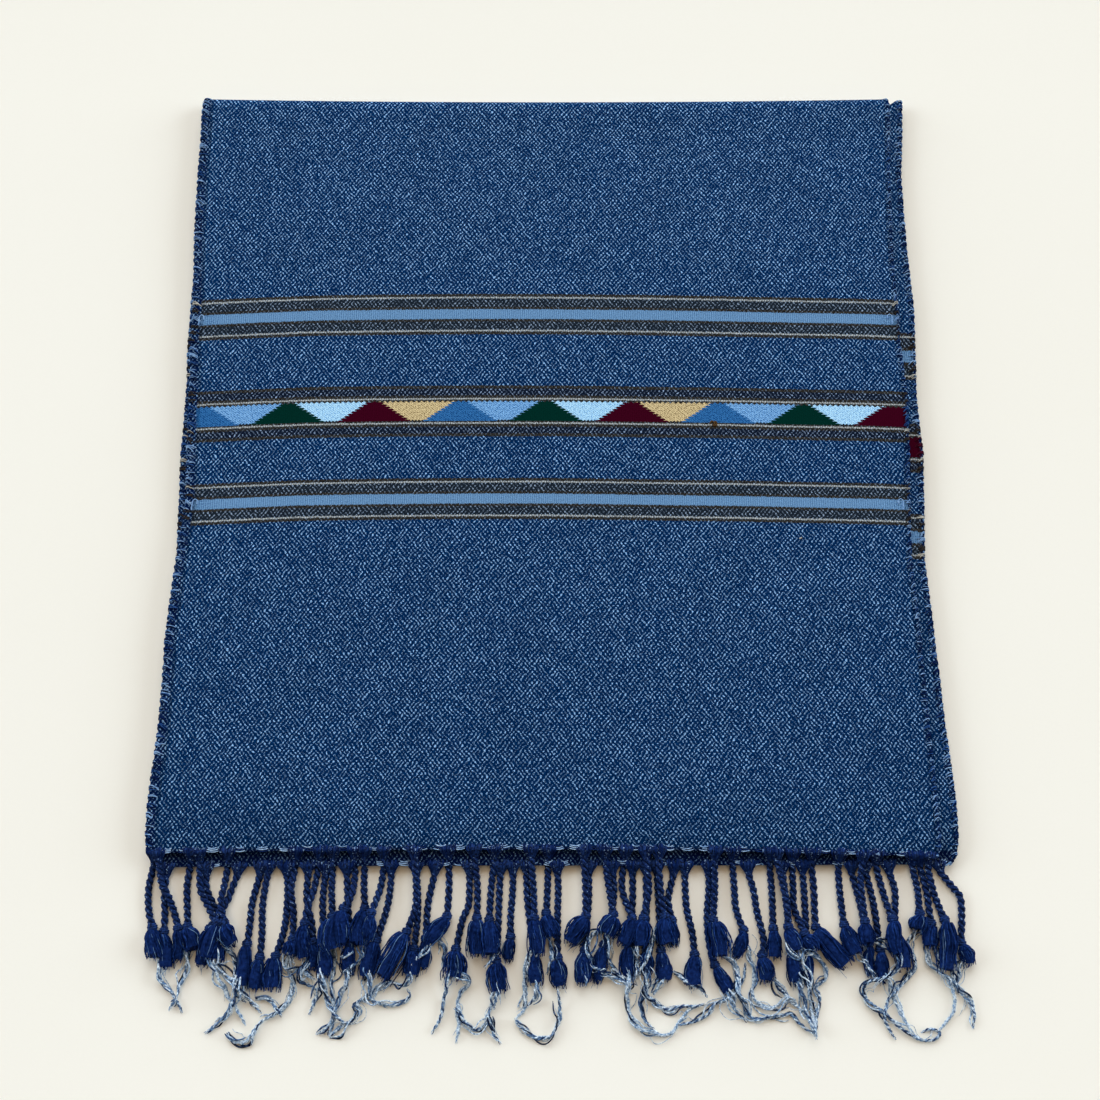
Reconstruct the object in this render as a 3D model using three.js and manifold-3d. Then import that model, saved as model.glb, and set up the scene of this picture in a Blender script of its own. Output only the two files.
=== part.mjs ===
// A handwoven cotton muffler, folded in half and in half again, lying flat on a table with
// both fringed ends together. X runs across the cloth, Y from the fringes towards the top
// fold, and Z up from the table. All sizes are in millimetres.
import * as THREE from "three";
import { mergeVertices } from "three/addons/utils/BufferGeometryUtils.js";
import Module from "manifold-3d";

const wasm = await Module();
wasm.setup();

// ---- Driving dimensions ----------------------------------------------------------------
const CLOTH = 1.6; // thickness of one layer of cloth
const GAP = 0.3; // air between two layers, and between two pieces
const LAYER = CLOTH + GAP; // rise from one layer to the next
const FOLD_REACH = 220; // how far the top fold reaches at the middle of its bow
const FOLD_BOW = 0.8; // the fold's corners reach this much further, its middle this much less
const INNER_FOLD = 0.7; // the inner fold stays this far behind the inside of the outer one
const FOLD_TURNS = 8; // straight steps round a fold
const TAIL = 214; // the top fold's sheets end here underneath, at the hidden layers
const MIDDLE_FOLD = -121.5; // end of the hidden fold at the middle of the muffler's length
// Where a sheet has a column of points across its width, closer together at the right,
// where the end below stands out past the front.
const COLUMNS = [0, 0.125, 0.25, 0.375, 0.5, 0.625, 0.75, 0.875, 0.983, 0.991, 1];

// Long edges of the end that lies on top, and of the other end just below it. The cloth
// draws in a little at the woven bands.
const FRONT_EDGES = [
  { y: -127, left: -161.2, right: 156.4 },
  { y: -124.5, left: -163.2, right: 157.7 },
  { y: -122, left: -163.9, right: 158.1 },
  { y: -119, left: -163.9, right: 158.1 },
  { y: -106, left: -163.8, right: 157.7 },
  { y: -73, left: -161.6, right: 156.7 },
  { y: -39, left: -161.6, right: 155.7 },
  { y: -4, left: -159.5, right: 154.2 },
  { y: 22, left: -156.9, right: 155.1 },
  { y: 45, left: -158.0, right: 156.4 },
  { y: 69, left: -158.6, right: 157.3 },
  { y: 97, left: -159.9, right: 155.6 },
  { y: 117, left: -159.6, right: 155.5 },
  { y: 147, left: -161.5, right: 155.2 },
  { y: 177, left: -161.9, right: 156.2 },
  { y: 214, left: -161.8, right: 158.2 },
  { y: 221, left: -161.0, right: 158.0 },
];
const SECOND_EDGES = [
  { y: -132.4, left: -158.6, right: 162.2 },
  { y: -129.5, left: -160.4, right: 164.8 },
  { y: -122, left: -161.2, right: 165.8 },
  { y: -106, left: -161.5, right: 165.9 },
  { y: -73, left: -160.5, right: 163.7 },
  { y: -39, left: -160.2, right: 162.0 },
  { y: -4, left: -159.8, right: 160.2 },
  { y: 22, left: -160.3, right: 161.6 },
  { y: 45, left: -161.0, right: 162.7 },
  { y: 69, left: -160.4, right: 161.7 },
  { y: 97, left: -161.4, right: 162.7 },
  { y: 117, left: -161.2, right: 163.2 },
  { y: 147, left: -160.4, right: 162.0 },
  { y: 177, left: -160.0, right: 161.7 },
  { y: 214, left: -159.0, right: 164.7 },
  { y: 221, left: -159.0, right: 165.0 },
];

// The two sheets that show. Each has the height of its middle, how far it sinks at the hem,
// where it starts to sink, how much it swells before the fold, and the fold's radius.
const FRONT = {
  edges: FRONT_EDGES, height: 3 * LAYER + CLOTH / 2, sink: 0.6, sinkFrom: -122,
  swell: 0.6, radius: 3.15, reach: FOLD_REACH, hemBow: { left: -0.5, middle: 1, right: -2 },
};
const SECOND = {
  edges: SECOND_EDGES, height: 2 * LAYER + CLOTH / 2, sink: 1.7, sinkFrom: -122,
  swell: 0, radius: 0.95, reach: FOLD_REACH - CLOTH - INNER_FOLD,
  hemBow: { left: -0.3, middle: 0.4, right: 0.9 },
};

// ---- Helpers for the cloth ---------------------------------------------------------------
const smooth = THREE.MathUtils.smoothstep;
const mix = THREE.MathUtils.lerp;

// The x of one long edge at a place y along the cloth.
function edgeAt(edges, y, side) {
  const next = edges.findIndex((row) => row.y >= y);
  if (next <= 0) return edges[next === 0 ? 0 : edges.length - 1][side];
  const [low, high] = [edges[next - 1], edges[next]];
  return mix(low[side], high[side], (y - low.y) / (high.y - low.y));
}

// How far the top fold bows at a place across the cloth, 0 at the left edge to 1.
function foldBow(across, y) {
  const fromMiddle = 2 * across - 1;
  return FOLD_BOW * (2 * fromMiddle ** 2 - 1) * smooth(y, 150, 216);
}

// How far the hem bows there: outwards where negative.
function hemBow(sheet, across, y) {
  const { left, middle, right } = sheet.hemBow;
  const side = across < 0.5 ? left : right;
  const bow = mix(middle, side, (2 * across - 1) ** 2);
  return bow * (1 - smooth(y, -127, -100));
}

// Height of a sheet's middle surface: it sinks towards the hem and swells before the fold.
function heightAt(sheet, y) {
  const hem = sheet.edges[0].y;
  const sunk = smooth(-y, -sheet.sinkFrom, -hem) * sheet.sink;
  return sheet.height - sunk + sheet.swell * smooth(y, 198, 214);
}

// The side view of a sheet: places on its middle surface, each with its outward direction,
// from the hem along the top, round the fold and a little way back underneath.
function sideView(sheet) {
  const foldY = sheet.reach - sheet.radius - CLOTH / 2;
  const foldZ = heightAt(sheet, foldY) - sheet.radius;
  const line = sheet.edges
    .filter((row) => row.y < 200)
    .map((row) => new THREE.Vector2(row.y, heightAt(sheet, row.y)));
  line.push(new THREE.Vector2(206, heightAt(sheet, 206)));
  for (let i = 0; i <= FOLD_TURNS; i++) {
    const angle = Math.PI / 2 - (Math.PI * i) / FOLD_TURNS;
    const y = foldY + sheet.radius * Math.cos(angle);
    line.push(new THREE.Vector2(y, foldZ + sheet.radius * Math.sin(angle)));
  }
  line.push(new THREE.Vector2(TAIL, foldZ - sheet.radius));
  return line.map((middle, i) => {
    const before = line[Math.max(i - 1, 0)];
    const after = line[Math.min(i + 1, line.length - 1)];
    const along = after.clone().sub(before).normalize();
    return { middle, out: new THREE.Vector2(-along.y, along.x) };
  });
}

// Moves every point of a geometry by a function of its own place.
function reshape(geometry, move) {
  const places = geometry.attributes.position;
  for (let i = 0; i < places.count; i++) {
    const place = move(new THREE.Vector3().fromBufferAttribute(places, i));
    places.setXYZ(i, place.x, place.y, place.z);
  }
  geometry.computeVertexNormals();
  return geometry;
}

// A sheet: a thin slab with a row for each place of its side view, bent round the fold
// between its two long edges.
function sheetGeometry(sheet, extraBow = () => 0) {
  const side = sideView(sheet);
  const [columns, rows] = [COLUMNS.length - 1, side.length - 1];
  const slab = new THREE.BoxGeometry(columns, rows, CLOTH, columns, rows, 1);
  return reshape(slab, ({ x: column, y: row, z: offMiddle }) => {
    const across = COLUMNS[Math.round(column + columns / 2)];
    const { middle, out } = side[Math.round(row + rows / 2)];
    const { x: y, y: z } = middle.clone().addScaledVector(out, offMiddle);
    const x = mix(edgeAt(sheet.edges, y, "left"), edgeAt(sheet.edges, y, "right"), across);
    const bow = foldBow(across, y) + hemBow(sheet, across, y) + extraBow(across, y);
    return new THREE.Vector3(x, y + bow, z);
  });
}

function meshOf(name, geometry, color, roughness) {
  const material = new THREE.MeshStandardMaterial({ color, roughness, metalness: 0 });
  const mesh = new THREE.Mesh(geometry, material);
  mesh.name = name;
  return mesh;
}

// ---- Cloth -------------------------------------------------------------------------------
// The end on top. It wraps round the outside of the top fold.
function frontPanel() {
  return meshOf("front_panel", sheetGeometry(FRONT), 0x32588c, 0.92);
}

// The other end, 6 mm to the right. Past the front's edge its fold is free and stands out.
function secondPanel() {
  const flare = 1.9;
  const standsOut = (across, y) => flare * smooth(across, 0.983, 0.991) * smooth(y, 205, 216);
  return meshOf("second_panel", sheetGeometry(SECOND, standsOut), 0x2e5284, 0.92);
}

// The two layers nobody sees, as one solid with a round fold at the muffler's middle and a
// groove between the layers along both long edges.
function hiddenLayers() {
  const halfWidth = 50; // of the section before it is spread to the cloth's edges
  const groove = 4;
  const round = 0.5;
  const inset = 1; // the hidden layers stay a little inside those above
  const top = LAYER + CLOTH;
  const rightSide = [
    [halfWidth - round, 0], [halfWidth, round], [halfWidth, CLOTH - round],
    [halfWidth - round, CLOTH], [halfWidth - groove, CLOTH], [halfWidth - groove, LAYER],
    [halfWidth - round, LAYER], [halfWidth, LAYER + round], [halfWidth, top - round],
    [halfWidth - round, top],
  ];
  const leftSide = rightSide.map(([x, z]) => [-x, z]).reverse();
  const corners = [...rightSide, ...leftSide].map(([x, z]) => new THREE.Vector2(x, z));
  const section = new THREE.Shape(corners);
  const rows = [0, 0.25, 0.9, 1.75, 15, 48, 82, 117, 166, 190, 238, 268, 298, 334];
  const steps = rows.length - 1;
  const drawn = new THREE.ExtrudeGeometry(section, { depth: steps, steps, bevelEnabled: false });
  drawn.rotateX(Math.PI / 2); // the section stands up and is drawn towards -Y
  return meshOf("hidden_layers", reshape(drawn, (place) => {
    const fromFold = rows[steps - Math.round(-place.y)];
    const y = MIDDLE_FOLD + fromFold;
    const edges = place.z > (CLOTH + LAYER) / 2 ? SECOND_EDGES : FRONT_EDGES;
    const left = edgeAt(edges, y, "left") + inset;
    const right = edgeAt(edges, y, "right") - inset;
    const x = place.x < 0 ? left + halfWidth + place.x : right - halfWidth + place.x;
    const bend = Math.min(fromFold / (top / 2), 1); // 0 at the very end of the round fold
    const thin = Math.max(Math.sqrt(1 - (1 - bend) ** 2), 0.2);
    return new THREE.Vector3(x, y, top / 2 + (place.z - top / 2) * thin);
  }), 0x2c4c7c, 0.95);
}

// ---- Fringes -----------------------------------------------------------------------------
const CORD = 2.6; // a twisted cord's thickness
const KNOT = 4; // its knot's width
const NECK = 2.6; // the cord starts to swell this far before its knot
const THREAD = 1; // a loose thread's thickness
const FLAT = 2.8; // thickness of a knot and of a tuft as they lie
const FAN = { front: 1.004, second: 1.008 }; // cords lying lower fan out a little wider
const CLEAR = 0.45; // how far cords and tufts stay above the table
const OVER = CLEAR + FLAT + 0.4; // underside of a front cord where it passes over others
// The backing that the cords grow from, and how far it is parted from the hem.
const STRIP = { depth: 2, thickness: 1.4, short: 1.5, parted: 0.45 };

// One row for each cord of the front end: the x where it leaves the hem, its bends, its
// knot, the tip of the tuft below the knot, and how wide that tuft spreads.
const cord = (root, bends, knot, tip, spread) => ({ root, bends, knot, tip, spread });
const FRONT_CORDS = [
  cord(-160.0, [[-161.7, -140], [-161, -150]], [-159, -156.3], [-156.4, -168.7], 5.5),
  cord(-158.6, [[-156.3, -138.7], [-153.3, -144], [-150.3, -152]], [-148.7, -156.7], [-148.4, -170], 5),
  cord(-145.3, [[-146.3, -138.7], [-145.7, -148.7]], [-145, -156], [-141, -166], 8),
  cord(-142, [[-140.7, -140.7], [-137.7, -146.7]], [-133, -154.7], [-136.7, -169.3], 7),
  cord(-130.3, [[-131.3, -140], [-131.7, -146.7]], [-129.7, -154.7], [-126, -164], 7),
  cord(-102.7, [[-104, -140.7], [-103, -149.3]], [-102.7, -160.7], [-103.3, -168], 6),
  cord(-93.3, [[-95, -140.7], [-97, -148.7]], [-98, -154.7], [-97.5, -169.3], 5),
  cord(-88, [[-88, -140.7]], [-87.3, -152], [-86, -166], 8),
  cord(-79, [[-79, -139], [-80, -144.5]], [-82.7, -149], [-82.8, -164], 6),
  cord(-75.3, [[-75, -140]], [-74.3, -149], [-76.5, -164], 7),
  cord(-67.3, [[-68, -139]], [-71.3, -150.7], [-73, -162], 5),
  cord(-55, [[-53.7, -140.7], [-54, -149.3]], [-57.3, -158], [-67, -176.5], 8),
  cord(-41.3, [[-40.7, -140]], [-41.3, -152], [-49.3, -163], 6),
  cord(-30.7, [[-29.3, -140]], [-29.3, -152.7], [-28.8, -168], 7),
  cord(-22.3, [[-23.7, -140.7]], [-24.3, -153.3], [-23.8, -168], 7),
  cord(-7.7, [[-6.7, -140.7]], [-6.3, -152.7], [-4.7, -168], 6),
  cord(-0.7, [[-1, -141]], [-1.5, -150.7], [1, -161], 6),
  cord(13.7, [[14.3, -140.7]], [14.3, -152], [7.3, -163.3], 8),
  cord(22, [[23.7, -140.7]], [25.3, -151.3], [21.5, -160], 8),
  cord(30.7, [[29, -140.7]], [32.7, -152.7], [28, -164], 7),
  cord(38.7, [[39.7, -140.7]], [37.3, -152.7], [36, -165], 8),
  cord(44, [[44.3, -140.7]], [45.7, -152], [46.6, -164], 6),
  cord(66.7, [[66.3, -140]], [65.3, -153.3], [67.5, -168.7], 8),
  cord(74, [[74.3, -142], [74.7, -149.3]], [77.3, -157.3], [73.5, -168.7], 4.5),
  cord(89, [[89.3, -142]], [89.3, -156.7], [89.3, -169], 4.5),
  cord(91.6, [[94, -142], [94.9, -148]], [95, -156], [98, -167], 6),
  cord(98.3, [[98, -141], [98, -148.5]], [101.3, -158.7], [105, -166], 5.5),
  cord(106, [[106.3, -141], [106.2, -149.3]], [106.3, -156.3], [118, -171.5], 6.5),
  cord(117, [[116.7, -142]], [117.7, -155.3], [122, -168], 6),
  cord(126.7, [[125, -140]], [125.7, -154], [126.2, -164], 6),
  cord(131.7, [[133.7, -140.7]], [136.7, -153], [138, -168], 6),
  cord(146.4, [[148, -140.7]], [148.3, -150.7], [146, -158.5], 6.5),
  cord(149.3, [[151.5, -141]], [152.6, -154.7], [151, -165], 5),
  cord(153.0, [[154, -141]], [158, -153.3], [156.5, -174], 7),
];

// The same for the end below. Its cords lie on the table, under those of the front.
const SECOND_CORDS = [
  cord(-155.3, [[-154.7, -142], [-154, -150]], [-153.7, -158], [-152, -173], 5),
  cord(-139.3, [[-138, -140.5], [-135, -147]], [-131, -153.5], [-132.6, -170], 6),
  cord(-126, [[-127.7, -141], [-129.7, -147]], [-135.2, -157], [-138, -172], 5),
  cord(-117.2, [[-118, -141], [-119.3, -147], [-119.7, -154.7]], [-120.3, -162.7], [-121.5, -180], 5),
  cord(-114.3, [[-115, -146.7], [-114.7, -158.7]], [-115, -168], [-116.6, -181], 5.5),
  cord(-107, [[-105.3, -141], [-105.3, -149.3], [-106, -157.3]], [-108.7, -167.3], [-109.6, -181], 7),
  cord(-98, [[-97.5, -145], [-95, -155]], [-94.3, -162], [-94.5, -173], 4.5),
  cord(-91, [[-91, -146]], [-90, -162], [-89.8, -176], 5),
  cord(-82.5, [[-81, -146]], [-79.5, -163], [-79.6, -175], 5),
  cord(-64.3, [[-64.3, -143], [-65.7, -150.7]], [-69, -161.3], [-73, -176.7], 7),
  cord(-54.4, [[-53.2, -141], [-52.9, -152]], [-54, -164.7], [-55.4, -176], 6),
  cord(-46.3, [[-47.7, -141], [-49, -149]], [-49.4, -160.7], [-50.2, -173], 4),
  cord(-32.7, [[-32.3, -141], [-32.7, -148], [-35, -153.5]], [-37.3, -164.7], [-38.4, -177], 7),
  cord(-20, [[-20.3, -142], [-20.7, -156]], [-21.3, -169.3], [-19.6, -182], 6.5),
  cord(-15, [[-15, -142], [-15.7, -152]], [-15.7, -160], [-16.6, -170], 4),
  cord(-9.5, [[-9, -146]], [-6.5, -165], [-5.3, -179], 5),
  cord(3, [[3.3, -141], [3, -152]], [3, -168], [4, -180], 5.5),
  cord(15.7, [[15.5, -145], [14.5, -157]], [13.7, -165.3], [13, -179], 6),
  cord(25.3, [[25.7, -142], [24, -155]], [21.3, -163.3], [18.5, -178], 5),
  cord(33.5, [[33, -147]], [31.3, -163], [31.4, -176.7], 5),
  cord(39.0, [[38.6, -147]], [38.2, -165], [37.7, -175], 5),
  cord(43.4, [[43.6, -150]], [44, -165.3], [44.9, -177.7], 5),
  cord(50.7, [[48.2, -141], [47.3, -146]], [48.6, -153.5], [49.4, -164], 4),
  cord(54.7, [[54.3, -142], [54.7, -149.3], [56.7, -158.7]], [57.3, -166.7], [56.6, -180], 5.5),
  cord(64.3, [[63.7, -142], [62.7, -152], [63.3, -162.7]], [65.3, -171], [71, -182], 4.5),
  cord(80, [[81.7, -142], [82.7, -150], [85, -161]], [84, -167.3], [85, -178], 6.5),
  cord(94.3, [[94.6, -147]], [96, -165], [96.5, -179], 6),
  cord(102.5, [[102, -147]], [102, -166], [102.2, -180], 4.5),
  cord(122, [[124.3, -148]], [126.5, -163], [127, -175.5], 4),
  cord(127.8, [[129.6, -148]], [131, -165], [131.6, -178], 4.5),
  cord(137, [[138.3, -141], [138, -149]], [137.3, -158], [140, -173.3], 6),
  cord(157.2, [[161.3, -140], [164.4, -144.5], [164.4, -153]], [163.3, -162.3], [166, -171.3], 5),
];

// Second locks that part from a knot of the front end.
const FRONT_LOCKS = [
  { knot: [-6.3, -152.7], tip: [-18, -168.7], spread: 5.5 },
  { knot: [-57.3, -158], tip: [-59.5, -170], spread: 4 },
];

// Loose threads that have slipped out of the tufts, each from its tuft to its end. All are
// carried by the tufts of the second end. Some lie on the table, and some cross over those.
const LOW_THREADS = [
  [[-152.6, -169], [-154, -176], [-150, -180], [-144.7, -189.3]],
  [[-131, -164], [-125.3, -168.7], [-124, -174], [-123.3, -182], [-120, -185.3]],
  [[-133.2, -168], [-130.7, -176], [-124.7, -185.3], [-122, -189.3], [-119.3, -194]],
  [[-126, -183.5], [-125.3, -187.3], [-130, -192.7], [-135.3, -197]],
  [[-105.8, -172], [-103.3, -174], [-102.2, -178.3], [-102.7, -184], [-106, -188.7],
    [-114, -193.3], [-116.7, -201.3]],
  [[-115.5, -192], [-115.6, -195.2], [-118.7, -200], [-123.3, -200], [-126.7, -196.7]],
  [[-109.3, -178], [-108.7, -186], [-105.3, -190.7]],
  [[-88.8, -172], [-86.7, -178.7], [-85.3, -185.3], [-84.7, -192], [-86.7, -197.7]],
  [[-86.7, -197.7], [-80.7, -194], [-75.3, -189.3], [-72, -182.7], [-62.7, -177.7], [-54.9, -172]],
  [[-38, -174], [-41.7, -184], [-42.7, -190], [-46.3, -197.3]],
  [[-35.6, -184], [-34, -192], [-29.3, -195.7], [-25.3, -193.3], [-22.3, -183], [-19.6, -178]],
  [[-24.4, -189.5], [-22.7, -196], [-19.3, -201]],
  [[-5.4, -174], [-9.7, -180], [-10, -187.3], [-14, -192]],
  [[14, -174], [17.3, -177], [22.7, -176], [31.2, -174]],
  [[37.8, -173], [35.3, -186.7], [37.3, -192], [40.7, -195.3]],
  [[49.7, -193.9], [56, -192.7], [62, -190], [64.7, -186], [69.5, -180]],
  [[70.5, -181], [74, -181.3], [78.7, -190.7], [84.7, -191.3], [94.7, -189.7], [103.3, -197.3]],
  [[102.2, -176], [102.3, -184], [103.3, -192], [103.7, -199.3]],
  [[131.5, -174], [126.7, -177.7], [125.3, -184.7], [134.7, -192.7], [144.7, -199.3], [152.7, -196.7]],
  [[139.4, -170], [142.7, -174.7], [136, -180.7], [131.3, -190], [135.3, -199.3]],
  [[165.7, -170], [161.2, -178.7], [165.3, -185.3], [166.7, -190], [165.7, -195.3]],
];
const HIGH_THREADS = [
  [[-137.6, -169], [-143, -174], [-146, -178.7], [-147, -184]],
  [[-132.7, -167], [-129.3, -174], [-123.3, -178.7], [-118, -184.7], [-113.3, -189.3]],
  [[-90, -172], [-92, -183.3], [-94.7, -190]],
  [[-79.3, -173], [-82.7, -182], [-84.7, -188.7], [-87.3, -194.7], [-92, -197.3]],
  [[-72.2, -174], [-71, -182], [-65.3, -186], [-60, -186], [-55.3, -182.7], [-55.2, -175]],
  [[-36.4, -173], [-35.3, -182], [-35.7, -193.3], [-36.3, -200.7]],
  [[-10.6, -188], [-10, -196], [-4.7, -199], [0, -198], [4, -190.7], [3.7, -184], [3.8, -178]],
  [[31.4, -174], [30.3, -184], [34.7, -194.7], [44.7, -197.7], [51.3, -192], [60.7, -185.7]],
  [[37.4, -173], [42, -185.3], [46, -188], [56.7, -186.7], [61.5, -185.5]],
  [[45, -175], [53.3, -177.3], [59.3, -180], [61.3, -185.6]],
  [[84.6, -174], [81, -178], [81.3, -184.7], [86.7, -187.3], [95.3, -185.3], [99.3, -188.7], [104, -198]],
  [[102.4, -172], [109.3, -175.3], [105.3, -179.3], [106, -184], [104.7, -190.7], [104, -198]],
  [[131.5, -176], [136, -184.7], [139.3, -192], [141.3, -197.3]],
  [[165.4, -169.5], [159.3, -174.7], [159.3, -182.7], [158.7, -188.7], [152, -196]],
];

// The y of a sheet's hem at a place x.
function hemAt(sheet, x) {
  const [hem] = sheet.edges;
  return hem.y + hemBow(sheet, (x - hem.left) / (hem.right - hem.left), hem.y);
}

// A strand along a list of stations, each with its place, half width and half thickness. A
// plain bar is bent along them: square, or three-sided with a flat underside.
const SQUARE = { sides: 4, turn: Math.PI / 4, reach: Math.SQRT2 };
const THREE_SIDED = { sides: 3, turn: 0, reach: 1.35 };

function strand(stations, { sides, turn, reach }) {
  const steps = stations.length - 1;
  const bar = new THREE.CylinderGeometry(1, 1, 1, sides, steps, false, turn);
  return reshape(bar, ({ x, y, z }) => {
    const i = Math.round((y + 0.5) * steps);
    const { place, half, thick } = stations[i];
    const before = stations[Math.max(i - 1, 0)].place;
    const after = stations[Math.min(i + 1, steps)].place;
    const along = after.clone().sub(before).setZ(0).normalize();
    const aside = new THREE.Vector3(along.y, -along.x, 0);
    const moved = place.clone().addScaledVector(aside, x * half * reach);
    return moved.setZ(place.z + z * thick * reach);
  });
}

// The tuft below a knot: a narrow neck, the full spread and a blunt tip.
const TUFT = [
  { way: 0.16, wide: 0.42, flat: 0.4 },
  { way: 0.5, wide: 1, flat: 0.5 },
  { way: 0.82, wide: 0.7, flat: 0.4 },
  { way: 1, wide: 0.22, flat: 0.14 },
];

function tuftStations({ knot, tip, spread }, knotRest, tipRest) {
  return TUFT.map(({ way, wide, flat }) => {
    const thick = flat * FLAT;
    const middle = mix(knotRest, tipRest, smooth(way, 0, 0.6)) + thick;
    const place = new THREE.Vector3(mix(knot[0], tip[0], way), mix(knot[1], tip[1], way), middle);
    return { place, half: (wide * spread) / 2, thick };
  });
}

// A cord from the strip over its bends to its knot, with the tuft below it. `rest` is the
// height of the cord's underside, `tipRest` that of the tuft's.
function cordStations({ root, bends, knot, tip, spread }, sheet, rest, tipRest) {
  const rootY = hemAt(sheet, root) - STRIP.parted - STRIP.depth / 2;
  const rootZ = heightAt(sheet, sheet.edges[0].y);
  const half = CORD / 2;
  const settled = sheet === FRONT ? -143 : -140; // by here the cord lies at its own height
  const places = [[root, rootY], ...bends].map(([x, y]) => {
    const down = smooth(-y, -rootY, -settled);
    return { place: new THREE.Vector3(x, y, mix(rootZ, rest + half, down)), half, thick: half };
  });
  places[0].thick = STRIP.thickness / 2; // the root is no thicker than the strip
  const knotPlace = new THREE.Vector3(...knot, rest + FLAT / 2);
  const [lastX, lastY] = bends.at(-1);
  const nearKnot = 1 - NECK / Math.hypot(knot[0] - lastX, knot[1] - lastY);
  const [neckX, neckY] = [mix(lastX, knot[0], nearKnot), mix(lastY, knot[1], nearKnot)];
  const neck = new THREE.Vector3(neckX, neckY, rest + half);
  return [
    ...places,
    { place: neck, half, thick: half },
    { place: knotPlace, half: KNOT / 2, thick: FLAT / 2 },
    ...tuftStations({ knot, tip, spread }, rest, tipRest),
  ];
}

const SIDE_ROOM = 1.6; // a tuft needs this much free table beside it to sink down

// True where a tuft of the front lies over a cord, a tuft or a thread of the second end.
function liesOver(tuft, below) {
  return tuft.some(({ place, half }) => below.some((low) => {
    const apart = Math.hypot(place.x - low.place.x, place.y - low.place.y);
    return apart < half + low.half + SIDE_ROOM;
  }));
}

// Extra stations between those of a strand, so that nearness is felt all along it.
function dense(stations) {
  const between = [0, 0.2, 0.4, 0.6, 0.8];
  return stations.slice(1).flatMap((next, i) => between.map((way) => ({
    place: stations[i].place.clone().lerp(next.place, way),
    half: mix(stations[i].half, next.half, way),
  })));
}

// A loose thread at one height above the table, smooth between its points.
function threadStations(points, rest) {
  const half = THREAD / 2;
  const level = rest + half;
  const line = new THREE.CatmullRomCurve3(points.map(([x, y]) => new THREE.Vector3(x, y, level)));
  const steps = Math.round((points.length - 1) * 1.5);
  return line.getPoints(steps).map((place) => ({ place, half, thick: half }));
}

// The narrow strip that a fringe's cords grow from, parted from the hem.
function stripGeometry(sheet) {
  const [hem] = sheet.edges;
  const bar = new THREE.BoxGeometry(1, STRIP.depth, STRIP.thickness, 12, 1, 1);
  return reshape(bar, ({ x: across, y: depth, z: rise }) => {
    const x = mix(hem.left + STRIP.short, hem.right - STRIP.short, across + 0.5);
    const y = hemAt(sheet, x) - STRIP.parted - STRIP.depth / 2 + depth;
    return new THREE.Vector3(x, y, heightAt(sheet, hem.y) + rise);
  });
}

// A closed geometry as a solid that can be joined.
function solidOf(geometry) {
  const bare = geometry.clone();
  bare.deleteAttribute("normal");
  bare.deleteAttribute("uv");
  const { attributes, index } = mergeVertices(bare, 1e-4);
  const vertProperties = attributes.position.array;
  const triVerts = new Uint32Array(index.array);
  return new wasm.Manifold(new wasm.Mesh({ numProp: 3, vertProperties, triVerts }));
}

// All pieces of one fringe joined, as they are in one strip.
function joined(geometries) {
  const { vertProperties, triVerts } = geometries
    .map(solidOf)
    .reduce((whole, piece) => whole.add(piece))
    .getMesh();
  const geometry = new THREE.BufferGeometry();
  geometry.setAttribute("position", new THREE.BufferAttribute(vertProperties, 3));
  geometry.setIndex(new THREE.BufferAttribute(triVerts, 1));
  geometry.computeVertexNormals();
  return geometry;
}

// A fringe's stations spread sideways by its fan.
function fanned(stations, fan) {
  return stations.map((one) => ({ ...one, place: one.place.clone().setX(one.place.x * fan) }));
}

const secondStations = SECOND_CORDS.map((one) =>
  fanned(cordStations(one, SECOND, CLEAR, CLEAR), FAN.second));
const threadLines = [
  ...LOW_THREADS.map((points) => threadStations(points, CLEAR)),
  ...HIGH_THREADS.map((points) => threadStations(points, CLEAR + THREAD + GAP)),
].map((stations) => fanned(stations, FAN.second));

function secondFringe() {
  const cords = secondStations.map((stations) => strand(stations, SQUARE));
  const threads = threadLines.map((stations) => strand(stations, THREE_SIDED));
  return meshOf("second_fringe", joined([stripGeometry(SECOND), ...cords, ...threads]), 0x122a5e, 0.85);
}

// The front's cords pass over those of the second end, and a tuft sinks to the table
// where nothing lies under it.
function frontFringe() {
  const below = [...secondStations, ...threadLines].flatMap(dense);
  const covers = (tuft) => liesOver(dense(fanned(tuftStations(tuft, OVER, OVER), FAN.front)), below);
  const restOf = (tuft) => (covers(tuft) ? OVER : CLEAR);
  const cords = FRONT_CORDS.map((one) => {
    const stations = cordStations(one, FRONT, OVER, restOf(one));
    return strand(fanned(stations, FAN.front), SQUARE);
  });
  const locks = FRONT_LOCKS.map((lock) => {
    const half = CORD / 2;
    const knot = { place: new THREE.Vector3(...lock.knot, OVER + half), half, thick: half };
    const stations = [knot, ...tuftStations(lock, OVER, restOf(lock))];
    return strand(fanned(stations, FAN.front), SQUARE);
  });
  return meshOf("front_fringe", joined([stripGeometry(FRONT), ...cords, ...locks]), 0x14306a, 0.85);
}

// ---- The muffler, set down with its origin under the middle of its outline -----------------
const muffler = new THREE.Group();
muffler.name = "muffler";
muffler.add(frontPanel(), secondPanel(), hiddenLayers(), frontFringe(), secondFringe());

const outline = new THREE.Box3().setFromObject(muffler, true);
const middle = outline.getCenter(new THREE.Vector3());
muffler.position.set(-middle.x, -middle.y, -outline.min.z);

export default muffler;
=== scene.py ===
"""A handwoven cotton muffler, folded in half and in half again, lying flat on a table with
both fringed ends together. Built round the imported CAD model, in metres."""
import math
import random

import bmesh
import bpy
import numpy as np
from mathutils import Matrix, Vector, kdtree, noise


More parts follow.
